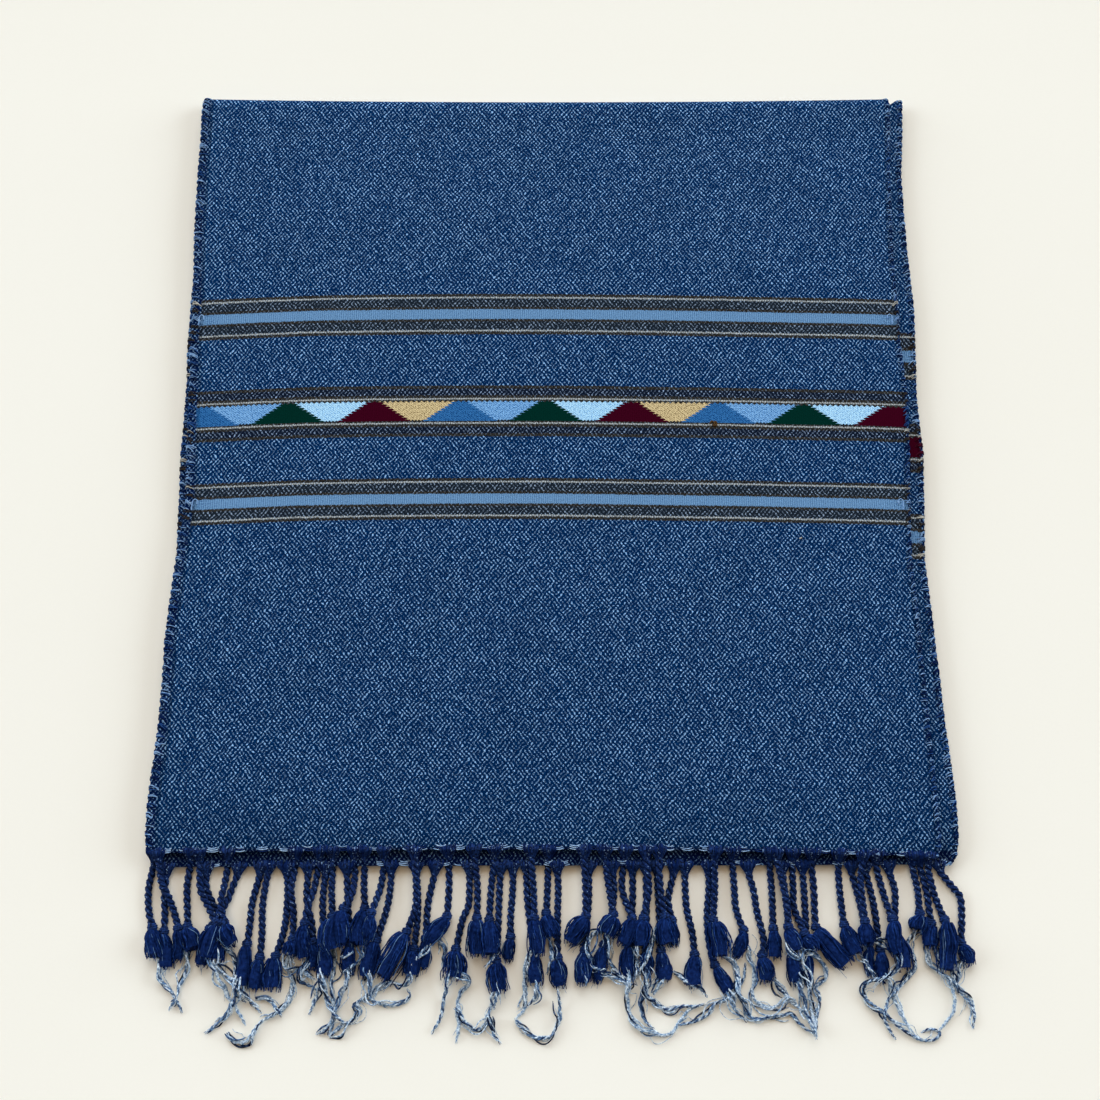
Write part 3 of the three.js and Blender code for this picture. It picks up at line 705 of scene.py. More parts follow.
YARNS = [
    yarn_finish("float_yarn", dye(78, 120, 172), dye(150, 184, 222)),
    yarn_finish("blue_yarn", dye(16, 48, 104), dye(48, 90, 150)),
    yarn_finish("navy_yarn", dye(2, 12, 44), dye(12, 36, 88)),
    yarn_finish("charcoal_yarn", dye(24, 26, 30), dye(62, 54, 46)),
    yarn_finish("cream_yarn", dye(140, 140, 134), dye(202, 200, 190)),
    yarn_finish("maroon_yarn", dye(44, 4, 20), dye(72, 12, 34)),
    yarn_finish("edge_yarn", dye(5, 24, 62), dye(36, 70, 122)),
]
FLOAT_YARN, BLUE_YARN, NAVY_YARN, CHARCOAL_YARN, CREAM_YARN, MAROON_YARN, EDGE_YARN = range(7)


def smooth_line(points, step):
    """Points a step apart on a smooth line through given ones, of any dimension."""
    fixed = np.array(points, float)
    ends = np.vstack([2 * fixed[0] - fixed[1], fixed, 2 * fixed[-1] - fixed[-2]])
    line = [fixed[0]]
    for i in range(1, len(ends) - 2):
        a, b, c, d = ends[i - 1:i + 3]
        count = max(int(np.linalg.norm(c - b) / step), 1)
        for t in (np.arange(count) + 1) / count:
            line.append(0.5 * (2 * b + (c - a) * t + (2 * a - 5 * b + 4 * c - d) * t**2
                               + (3 * b - a - 3 * c + d) * t**3))
    return np.array(line)


class Yarns:
    """Many lengths of yarn gathered into one mesh piece, each a round tube with closed ends."""

    def __init__(self, sides, finishes):
        self.curve = bpy.data.curves.new("yarns", "CURVE")
        for finish in finishes:
            self.curve.materials.append(finish.material)
        self.curve.dimensions = "3D"
        self.curve.bevel_mode = "ROUND"
        self.curve.bevel_depth = 1
        self.curve.bevel_resolution = (sides - 4) // 2
        self.curve.use_fill_caps = True

    def lay(self, points, radius, finish=0):
        """One length of yarn through points, with one radius or one for each point."""
        spline = self.curve.splines.new("POLY")
        spline.points.add(len(points) - 1)
        spline.use_smooth = True
        spline.material_index = finish
        radii = np.broadcast_to(radius, len(points)) * MM
        for point, (x, y, z), thick in zip(spline.points, points, radii):
            point.co = (*put(x, y, max(z, thick / MM)), 1)
            point.radius = thick

    def piece(self, name):
        source = bpy.data.objects.new("yarns", self.curve)
        scene.collection.objects.link(source)
        mesh = bpy.data.meshes.new_from_object(source)
        bpy.data.objects.remove(source)
        mesh.name = name
        made = bpy.data.objects.new(name, mesh)
        scene.collection.objects.link(made)
        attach(made, "root")
        return made


LOOP_PITCH = 3.6
LOOP = [
    # in from the edge as a share of the loop's reach, up from the upper face, along the edge
    (1.0, -0.1, -0.9), (0.7, 0.2, -0.2), (0.38, 0.3, 0.35), (0.1, 0.15, 0.5),
    (-0.06, -0.35, 0.3), (-0.1, -0.9, -0.2), (0.1, -1.4, -0.6),
]
BRACKET = [
    # in from the edge, along it from the stripe's middle
    (3.1, -2.2), (3.0, 0.6), (3.2, 2.1), (4.0, 2.7), (4.9, 2.2), (5.0, 0.4),
]


def loop_yarn(pattern_y, dice, last_block):
    """The finish of a loop: the yarn that the weft has at this place on the pattern."""
    for middle, scale in STRIPE_BANDS:
        off = abs(pattern_y - middle) / scale
        if off < 2.3:
            return FLOAT_YARN
        if off < 9.6:
            return CREAM_YARN if 7.0 < off < 8.8 else CHARCOAL_YARN
    off = abs(pattern_y - BORDER_MIDDLE)
    if off < 4.8:
        return last_block
    if off < 11.9:
        return CREAM_YARN if 4.8 < off < 6.8 else CHARCOAL_YARN
    pick = dice.random()
    return FLOAT_YARN if pick < 0.34 else BLUE_YARN if pick < 0.65 else NAVY_YARN


def at_edge(sheet, side, run, inset, up, along=0.0):
    """A place at a long edge: so far in from it, up from the upper face, and along it."""
    y, z, out_y, out_z = sheet.side(run)
    x = edge_at(sheet.edges, y, side)
    lift = sheet.lift(x, y) if run <= sheet.fold_y else 0
    up += WALL / 2 + lift
    inward, across = (1, 0) if side == 1 else (-1, 1)
    place_y = y + sheet.bow(across, y) + out_y * up + along * out_z
    return (x + inward * inset, place_y, z + out_z * up - along * out_y)


def edge_cord(yarns, sheet, side, start, end):
    """The cord that the weft turns round, as a row of soft lumps."""
    cord = []
    for run in np.arange(start, end, 0.45):
        bulge = math.cos((run - start) / LOOP_PITCH * 2 * math.pi)
        cord.append(at_edge(sheet, side, run, 0.62 - 0.3 * bulge, -0.72 + 0.08 * bulge))
    yarns.lay(cord, 0.7, EDGE_YARN)


def selvedge_loops(name, sheet, pattern_shift, seed, sides):
    """The edge cord and its loops on both long edges. Each side gives its reach inwards and
    the finish of its last tapestry block."""
    dice = random.Random(seed)
    yarns = Yarns(6, YARNS)
    start = sheet.hem + 0.6
    fold_end = sheet.fold_y + 0.7 * math.pi * sheet.radius
    for side, reach, last_block in sides:
        edge_cord(yarns, sheet, side, start, fold_end)
        run = start
        while run < fold_end:
            for _ in range(3 if reach < 3 else 4):
                long = reach * dice.uniform(0.5, 1.15)
                place = run + dice.uniform(-0.9, 0.9)
                lean = dice.uniform(-0.2, 1.5)
                points = [at_edge(sheet, side, place, inset * long, up + 0.1, along * lean)
                          for inset, up, along in LOOP]
                pattern_y = place + pattern_shift(place) + sag(points[0][0])
                finish = loop_yarn(pattern_y, dice, last_block)
                yarns.lay(smooth_line(points, 0.6), dice.uniform(0.14, 0.25), finish)
            run += LOOP_PITCH
        if sheet is FRONT:
            # The pale stripe's own weft shows as a bracket where it turns back.
            for middle, _ in STRIPE_BANDS:
                turned = middle - sag(at_edge(sheet, side, middle, 4, 0)[0])
                points = [at_edge(sheet, side, turned + along, inset, 0.12)
                          for inset, along in BRACKET]
                yarns.lay(smooth_line(points, 0.6), 0.28, FLOAT_YARN)
    piece = yarns.piece(name)
    return piece


front_selvedges = selvedge_loops(
    "front_selvedges", FRONT, lambda run: 0, seed=11,
    sides=[(1, 3.6, BLUE_YARN), (2, 2.2, BLUE_YARN)]
)
second_selvedges = selvedge_loops(
    "second_selvedges", SECOND, nearer_bands, seed=12,
    sides=[(1, 3.6, BLUE_YARN), (2, 3.0, MAROON_YARN)]
)


# ---- Yarn specks --------------------------------------------------------------------------
# Two slips of the weaver's: a little knot of brown wool in the row under the triangles, and
# one white fleck in the plain twill below the lower band.
specks = Yarns(6, [yarn_finish("brown_wool", dye(40, 28, 18), dye(98, 72, 40)), YARNS[CREAM_YARN]])
for middle, turn in ((-0.9, 0.4), (0.9, 2.0), (0.1, 3.4), (0.2, 5.1)):
    arc = [turn + step for step in np.linspace(0, 2.6, 8)]
    ring = [(71.8 + middle + 0.8 * math.cos(a), 57.4 + 1.1 * math.sin(a)) for a in arc]
    specks.lay([(x, y, FRONT.top_at(x, y) + 0.25) for x, y in ring], 0.42, 0)
fleck = [(107.2 + step, 5.2 + step * 0.4, FRONT.top_at(107, 5) + 0.1) for step in (-0.5, 0, 0.5)]
specks.lay(fleck, 0.34, 1)
yarn_specks = specks.piece("yarn_specks")


# ---- Fringe cords, knots and tufts ----------------------------------------------------------
# At each hem the warp is gathered in bundles and plied into hard two-ply cords. Each is
# tied off in an overhand knot, below which the yarns part into a soft tuft.
CORD_PLY = 0.86  # radius of one ply
CORD_CORE = 0.7  # from the cord's middle to a ply's
CORD_TURN = 5.6  # length of a full turn
GLINT_FLECK_PLY = 0.18  # radius of the light yarn along each ply, its bright specks partly painted glints
GLINT_FLECK_CORE = CORD_CORE + 0.74
CORD_BODY = 1.35  # radius that the next strand lies on
FRONT_FAN = 1.004  # how much wider than their rows say the free cords fan out
SECOND_FAN = 1.008

FRONT_CORDS = [
    # root, bends, knot, tip of the tuft, spread of the tuft
    (-160.0, [(-161.7, -140), (-161, -150)], (-159, -156.3), (-156.4, -168.7), 5.5),
    (-158.6, [(-156.3, -138.7), (-153.3, -144), (-150.3, -152)], (-148.7, -156.7), (-148.4, -170), 5),
    (-145.3, [(-146.3, -138.7), (-145.7, -148.7)], (-145, -156), (-141, -166), 8),
    (-142, [(-140.7, -140.7), (-137.7, -146.7)], (-133, -154.7), (-136.7, -169.3), 7),
    (-130.3, [(-131.3, -140), (-131.7, -146.7)], (-129.7, -154.7), (-126, -164), 7),
    (-102.7, [(-104, -140.7), (-103, -149.3)], (-102.7, -160.7), (-103.3, -168), 6),
    (-93.3, [(-95, -140.7), (-97, -148.7)], (-98, -154.7), (-97.5, -169.3), 5),
    (-88, [(-88, -140.7)], (-87.3, -152), (-86, -166), 8),
    (-79, [(-79, -139), (-80, -144.5)], (-82.7, -149), (-82.8, -164), 6),
    (-75.3, [(-75, -140)], (-74.3, -149), (-76.5, -164), 7),
    (-67.3, [(-68, -139)], (-71.3, -150.7), (-73, -162), 5),
    (-55, [(-53.7, -140.7), (-54, -149.3)], (-57.3, -158), (-67, -176.5), 8),
    (-41.3, [(-40.7, -140)], (-41.3, -152), (-49.3, -163), 6),
    (-30.7, [(-29.3, -140)], (-29.3, -152.7), (-28.8, -168), 7),
    (-22.3, [(-23.7, -140.7)], (-24.3, -153.3), (-23.8, -168), 7),
    (-7.7, [(-6.7, -140.7)], (-6.3, -152.7), (-4.7, -168), 6),
    (-0.7, [(-1, -141)], (-1.5, -150.7), (1, -161), 6),
    (13.7, [(14.3, -140.7)], (14.3, -152), (7.3, -163.3), 8),
    (22, [(23.7, -140.7)], (25.3, -151.3), (21.5, -160), 8),
    (30.7, [(29, -140.7)], (32.7, -152.7), (28, -164), 7),
    (38.7, [(39.7, -140.7)], (37.3, -152.7), (36, -165), 8),
    (44, [(44.3, -140.7)], (45.7, -152), (46.6, -164), 6),
    (66.7, [(66.3, -140)], (65.3, -153.3), (67.5, -168.7), 8),
    (74, [(74.3, -142), (74.7, -149.3)], (77.3, -157.3), (73.5, -168.7), 4.5),
    (89, [(89.3, -142)], (89.3, -156.7), (89.3, -169), 4.5),
    (91.6, [(94, -142), (94.9, -148)], (95, -156), (98, -167), 6),
    (98.3, [(98, -141), (98, -148.5)], (101.3, -158.7), (105, -166), 5.5),
    (106, [(106.3, -141), (106.2, -149.3)], (106.3, -156.3), (118, -171.5), 6.5),
    (117, [(116.7, -142)], (117.7, -155.3), (122, -168), 6),
    (126.7, [(125, -140)], (125.7, -154), (126.2, -164), 6),
    (131.7, [(133.7, -140.7)], (136.7, -153), (138, -168), 6),
    (146.4, [(148, -140.7)], (148.3, -150.7), (146, -158.5), 6.5),
    (149.3, [(151.5, -141)], (152.6, -154.7), (151, -165), 5),
    (153.0, [(154, -141)], (158, -153.3), (156.5, -174), 7),
]
SECOND_CORDS = [
    (-155.3, [(-154.7, -142), (-154, -150)], (-153.7, -158), (-152, -173), 5),
    (-139.3, [(-138, -140.5), (-135, -147)], (-131, -153.5), (-132.6, -170), 6),
    (-126, [(-127.7, -141), (-129.7, -147)], (-135.2, -157), (-138, -172), 5),
    (-117.2, [(-118, -141), (-119.3, -147), (-119.7, -154.7)], (-120.3, -162.7), (-121.5, -180), 5),
    (-114.3, [(-115, -146.7), (-114.7, -158.7)], (-115, -168), (-116.6, -181), 5.5),
    (-107, [(-105.3, -141), (-105.3, -149.3), (-106, -157.3)], (-108.7, -167.3), (-109.6, -181), 7),
    (-98, [(-97.5, -145), (-95, -155)], (-94.3, -162), (-94.5, -173), 4.5),
    (-91, [(-91, -146)], (-90, -162), (-89.8, -176), 5),
    (-82.5, [(-81, -146)], (-79.5, -163), (-79.6, -175), 5),
    (-64.3, [(-64.3, -143), (-65.7, -150.7)], (-69, -161.3), (-73, -176.7), 7),
    (-54.4, [(-53.2, -141), (-52.9, -152)], (-54, -164.7), (-55.4, -176), 6),
    (-46.3, [(-47.7, -141), (-49, -149)], (-49.4, -160.7), (-50.2, -173), 4),
    (-32.7, [(-32.3, -141), (-32.7, -148), (-35, -153.5)], (-37.3, -164.7), (-38.4, -177), 7),
    (-20, [(-20.3, -142), (-20.7, -156)], (-21.3, -169.3), (-19.6, -182), 6.5),
    (-15, [(-15, -142), (-15.7, -152)], (-15.7, -160), (-16.6, -170), 4),
    (-9.5, [(-9, -146)], (-6.5, -165), (-5.3, -179), 5),
    (3, [(3.3, -141), (3, -152)], (3, -168), (4, -180), 5.5),
    (15.7, [(15.5, -145), (14.5, -157)], (13.7, -165.3), (13, -179), 6),
    (25.3, [(25.7, -142), (24, -155)], (21.3, -163.3), (18.5, -178), 5),
    (33.5, [(33, -147)], (31.3, -163), (31.4, -176.7), 5),
    (39.0, [(38.6, -147)], (38.2, -165), (37.7, -175), 5),
    (43.4, [(43.6, -150)], (44, -165.3), (44.9, -177.7), 5),
    (50.7, [(48.2, -141), (47.3, -146)], (48.6, -153.5), (49.4, -164), 4),
    (54.7, [(54.3, -142), (54.7, -149.3), (56.7, -158.7)], (57.3, -166.7), (56.6, -180), 5.5),
    (64.3, [(63.7, -142), (62.7, -152), (63.3, -162.7)], (65.3, -171), (71, -182), 4.5),
    (80, [(81.7, -142), (82.7, -150), (85, -161)], (84, -167.3), (85, -178), 6.5),
    (94.3, [(94.6, -147)], (96, -165), (96.5, -179), 6),
    (102.5, [(102, -147)], (102, -166), (102.2, -180), 4.5),
    (122, [(124.3, -148)], (126.5, -163), (127, -175.5), 4),
    (127.8, [(129.6, -148)], (131, -165), (131.6, -178), 4.5),
    (137, [(138.3, -141), (138, -149)], (137.3, -158), (140, -173.3), 6),
    (157.2, [(161.3, -140), (164.4, -144.5), (164.4, -153)], (163.3, -162.3), (166, -171.3), 5),
]


HEAP_FIRM = 4.5  # above this height a strand sinks into the soft heap under it
HEAP_GIVES = 0.3  # share of its extra height that it keeps
KNOT_TURNS = 3.2
KNOT_RADIUS = 1.72
KNOT_CORE = 1.35
KNOT_PLY = 0.52
GATHER_HALF = 2.9  # half the width of hem that draws together into one cord
GATHER_ENDS = 9  # warp ends that are seen to do so
TUFT_STRANDS = 34
TUFT_WISPS = 4  # of them that are single pale fibres

FRINGE_FINISHES = [
    # name, dark, light, noise to a millimetre, where the light starts, contrast, gloss, painted shade
    # in the grooves between plies
    yarn_finish("cord_yarn", dye(1, 8, 34), dye(30, 60, 120), 1.1, 0.32, 2.6, 0.1, True),
    yarn_finish("tuft_yarn", dye(4, 24, 72), dye(30, 62, 128), 0.9, 0.36, 3.0),
    yarn_finish("wisp_yarn", dye(40, 80, 130), dye(130, 164, 200), 0.6),
    # The darker tuft yarn is painted shade in the tufts; at the hem it also serves as a darker yarn.
    yarn_finish("dark_yarn_and_painted_tuft_shade", dye(3, 17, 56), dye(18, 43, 98), 0.9),
    yarn_finish("hem_yarn", dye(78, 116, 164), dye(176, 204, 232), 0.9),
    # Light fibre specks along the plies, partly painted glints.
    yarn_finish("cord_fleck_and_glint", dye(8, 24, 66), dye(132, 164, 204), 1.3, 0.56, 9.0),
]
CORD_YARN, TUFT_YARN, WISP_YARN, DARK_YARN_AND_PAINTED_TUFT_SHADE, HEM_YARN, CORD_FLECK_AND_GLINT = range(len(FRINGE_FINISHES))


def length_along(line):
    """How far along a line each of its points is."""
    return np.concatenate([[0], np.cumsum(np.linalg.norm(np.diff(line, axis=0), axis=1))])


class Heap:
    """What already lies on the table, as small balls, so that the next strand lies on it."""

    def __init__(self):
        self.balls = np.empty((0, 4))

    def rest(self, line, radius, root_height, stiffness=0.42):
        """Heights of a strand that falls on the heap, no steeper than its stiffness lets it."""
        heights = np.full(len(line), radius + 0.12)
        if len(self.balls):
            off = line[:, None, :2] - self.balls[None, :, :2]
            reach = radius + self.balls[:, 3]
            room = reach**2 - (off**2).sum(axis=2)
            over = np.where(room > 0, self.balls[:, 2] + np.sqrt(np.clip(room, 0, None)), 0)
            heights = np.maximum(heights, over.max(axis=1))
        gone = length_along(line[:, :2])
        heights[0] = max(heights[0], root_height)
        heights = np.minimum(heights, HEAP_FIRM + (heights - HEAP_FIRM) * HEAP_GIVES)
        slope = np.abs(gone[:, None] - gone[None, :]) * stiffness
        heights = (heights[None, :] - slope).max(axis=1)
        window = np.exp(-((gone[:, None] - gone[None, :]) / 1.6) ** 2)
        return (window @ heights) / window.sum(axis=1)

    def add(self, line, heights, radius):
        balls = np.column_stack([line[:, :2], heights, np.full(len(line), radius)])
        self.balls = np.vstack([self.balls, balls[::2]])


heap = Heap()


def around(line, turn_length, distance, phase):
    """A line wound round another one, as a ply winds in a cord."""
    along = np.gradient(line, axis=0)
    along /= np.linalg.norm(along, axis=1)[:, None]
    aside = np.cross(along, [0, 0, 1])
    aside /= np.linalg.norm(aside, axis=1)[:, None]
    above = np.cross(aside, along)
    gone = length_along(line)
    angle = gone / turn_length * 2 * math.pi + phase
    reach = np.broadcast_to(distance, len(line))
    return line + aside * (np.cos(angle) * reach)[:, None] + above * (np.sin(angle) * reach)[:, None]


def knot_coil(centre, along, dice):
    """The wraps of an overhand knot, wound into a ball that leans across the cord."""
    side = np.array([-along[1], along[0]])
    lean = dice.uniform(-0.35, 0.35)
    axis = along * math.cos(lean) + side * math.sin(lean)
    across = np.array([-axis[1], axis[0]])
    points = []
    for way in np.linspace(0, 1, 34):
        turn = way * KNOT_TURNS * 2 * math.pi
        slip = (way - 0.5) * 2.5
        round_off = math.sqrt(max(KNOT_RADIUS**2 - slip**2, 0.2))
        x, y = centre[:2] + axis * slip + across * round_off * math.cos(turn)
        points.append((x, y, centre[2] + round_off * math.sin(turn) * 0.85))
    return np.array(points)


TUFT_OUTLINE = [
    # way down the tuft, share of its spread
    (0.0, 0.42), (0.1, 0.72), (0.25, 0.95), (0.5, 1.03), (0.75, 0.9), (0.9, 0.7), (1.0, 0.45),
]


def tuft(locks, bulbs, start, tip, spread, dice):
    """A tuft: a soft bulb of packed fibre under parted yarns that come together at their tips."""
    middle = ((start[0] + tip[0]) / 2 + dice.uniform(-0.9, 0.9), (start[1] + tip[1]) / 2)
    line = smooth_line([start, middle, tip], 1.3)
    wide = spread * dice.uniform(1.05, 1.22)
    heights = heap.rest(line, wide * 0.34, 0.0)
    heap.add(line, heights, wide * 0.32)
    along = (line[-1] - line[0]) / np.linalg.norm(line[-1] - line[0])
    side = np.array([-along[1], along[0]])
    ways = np.linspace(0, 1, len(line))
    tail = dice.choice((0, 0, 0.3, 0.5))
    shares = np.interp(ways, *zip(*TUFT_OUTLINE)) + tail * ways**3
    core = [(*point, height) for point, height in zip(line, heights)]
    # The bulb is laid in the darker tuft yarn: painted shade under the parted yarns.
    bulbs.lay(core[:-1], np.clip(shares[:-1] * wide * 0.43, 0.4, 2.9), DARK_YARN_AND_PAINTED_TUFT_SHADE)
    for strand in range(TUFT_STRANDS):
        wisp = strand < TUFT_WISPS
        turn = dice.uniform(0, 2 * math.pi)
        out = dice.uniform(0.8, 1.12)
        stop = dice.uniform(0.95, 1.2) if wisp else dice.uniform(0.7, 1.04)
        wander = dice.uniform(-0.6, 0.6)
        curl = dice.uniform(0, 6)
        waves = dice.uniform(5, 12)
        points = []
        for way in np.linspace(0, stop, 11):
            spot = way * (len(line) - 1)
            whole = min(int(spot), len(line) - 2)
            x, y = line[whole] + (line[whole + 1] - line[whole]) * (spot - whole)
            share = np.interp(way, ways, shares)
            across = share * wide * 0.47 * out * math.cos(turn) + wander * way**2 * 2
            across += 0.3 * math.sin(curl + way * waves)
            high = share * wide * 0.43 * out * math.sin(turn) + 0.25 * math.cos(curl + way * waves)
            height = float(np.interp(min(way, 1), ways, heights))
            points.append((x + side[0] * across, y + side[1] * across, max(height + high, 0.4)))
        thick = 0.12 if wisp else 0.34
        # Half the yarns take the darker tuft yarn: painted shade in among them.
        finish = WISP_YARN if wisp else TUFT_YARN if dice.random() < 0.5 else DARK_YARN_AND_PAINTED_TUFT_SHADE
        locks.lay(points, thick * np.linspace(1.0, 0.5, len(points)), finish)


def gather(yarns, sheet, root, line, heights, dice):
    """Warp ends that leave the hem on both sides of a cord and draw together into it."""
    near = min(8, len(line) - 1)
    for turn in np.linspace(-1, 1, GATHER_ENDS):
        x = root + turn * GATHER_HALF + dice.uniform(-0.3, 0.3)
        hem = sheet.hem_at(x)
        top = sheet.top_at(x, hem)
        up = 0.5 * (1 - turn**2)
        points = [
            (x + dice.uniform(-0.3, 0.3), hem + 1.9 + dice.uniform(-0.9, 0.6), top - 0.1),
            (x, hem + 0.3, top + 0.15 + up),
            (even(x, line[near][0], 0.4), hem - 1.5, even(top, heights[near], 0.5) + up),
            (line[near][0] + turn * 0.7, line[near][1], heights[near] + up * 0.6),
        ]
        thick = dice.uniform(0.42, 0.6)
        finish = dice.choice((CORD_YARN, CORD_YARN, DARK_YARN_AND_PAINTED_TUFT_SHADE, CORD_FLECK_AND_GLINT))
        yarns.lay(smooth_line(points, 0.8), thick, finish)


def hem_floats(yarns, sheet, roots, dice):
    """Light weft ends that show as short sagging arcs between the cords along a hem."""
    places = sorted([sheet.edges[0][1] + 1, *roots, sheet.edges[0][2] - 1])
    shown = 0.9 if sheet is FRONT else 0.55
    for left, right in zip(places, places[1:]):
        gap = right - left
        if gap < 3.5:
            continue
        count = max(round(gap / 8), 1)
        for i in range(count):
            middle = left + gap * (i + 0.5) / count + dice.uniform(-0.6, 0.6)
            half = min(gap / count - 1.6, dice.uniform(4.6, 6.6)) / 2
            if dice.random() > shown:
                continue
            for row in range(dice.choice((2, 3, 3))):
                span = half * (1 - 0.16 * row) * dice.uniform(0.85, 1.1)
                shift = dice.uniform(-0.5, 0.5)
                points = []
                for way in np.linspace(-1, 1, 7):
                    x = middle + shift + way * span
                    y = sheet.hem_at(x) + 0.05 + row * 0.7 + 0.6 * way**2
                    points.append((x, y, sheet.top_at(x, y) + 0.12 - 0.4 * way**4))
                thick = dice.uniform(0.17, 0.26)
                finish = DARK_YARN_AND_PAINTED_TUFT_SHADE if dice.random() < 0.3 else HEM_YARN
                yarns.lay(points, thick, finish)


def ply_cord(yarns, spine, dice):
    """Two plies wound round each other, with a light yarn along each, its bright specks partly
    painted glints.
    """
    phase = dice.uniform(0, 2 * math.pi)
    turn_length = CORD_TURN * dice.uniform(0.9, 1.12)
    for ply in (0, math.pi):
        yarns.lay(around(spine, turn_length, CORD_CORE, phase + ply), CORD_PLY, CORD_YARN)
    for ply in (0.2, 0.2 + math.pi):
        yarns.lay(around(spine, turn_length, GLINT_FLECK_CORE, phase + ply), GLINT_FLECK_PLY, CORD_FLECK_AND_GLINT)


def tie_knot(yarns, spine, dice):
    """The knot at a cord's end, raised so that it clears the table. Gives the way that the
    cord runs into it."""
    along = spine[-1, :2] - spine[-3, :2]
    along /= np.linalg.norm(along)
    spine[-1, 2] = max(spine[-1, 2], 2.1)
    yarns.lay(knot_coil(spine[-1], along, dice), KNOT_PLY, CORD_YARN)
    knot_end = (*(spine[-1, :2] + along * 1.4), spine[-1, 2])
    yarns.lay([spine[-2], spine[-1], knot_end], KNOT_CORE, CORD_YARN)
    return along


def mark_crests(piece, spine_points):
    """Gives each point of the cords its distance from its cord's middle, as a share, for the painted
    shade that darkens the grooves between plies.
    """
    tree = kdtree.KDTree(len(spine_points))
    for i, point in enumerate(spine_points):
        tree.insert(put(*point), i)
    tree.balance()
    reach = (CORD_CORE + CORD_PLY) * MM
    shares = [min(tree.find(vertex.co)[2] / reach, 1.0) for vertex in piece.data.vertices]
    proud = piece.data.attributes.new("proud", "FLOAT", "POINT")
    proud.data.foreach_set("value", shares)


def fringe(name, cords, sheet, fan, seed):
    """All the cords of one end with their knots, and their tufts' yarns and bulbs. A fringe
    that lies lower fans out a little wider."""
    dice = random.Random(seed)
    yarns = Yarns(6, FRINGE_FINISHES)
    locks = Yarns(4, FRINGE_FINISHES)
    bulbs = Yarns(10, FRINGE_FINISHES)
    spines = []
    hem_floats(yarns, sheet, [row[0] for row in cords], dice)
    for root, bends, knot, tip, spread in cords:
        hem = sheet.hem_at(root)
        fanned = [(root, hem + 1.5), (root, hem - 1.0), *[(x * fan, y) for x, y in [*bends, knot]]]
        line = smooth_line(fanned, 0.65)
        heights = heap.rest(line, CORD_BODY, sheet.top_at(root, hem) - 0.5)
        heap.add(line, heights, CORD_BODY)
        spine = np.column_stack([line, heights])
        spines.append(spine)
        gather(yarns, sheet, root, line, heights, dice)
        ply_cord(yarns, spine, dice)
        start = line[-1] + tie_knot(yarns, spine, dice) * 1.2
        tuft(locks, bulbs, start, np.array([tip[0] * fan, tip[1]]), spread, dice)
    laid = yarns.piece(name + "_cords")
    mark_crests(laid, np.vstack(spines))
    return laid, locks.piece(name + "_tufts"), bulbs.piece(name + "_bulbs")


second_cords, second_tufts, second_bulbs = fringe(
    "second_fringe", SECOND_CORDS, SECOND, SECOND_FAN, seed=21
)


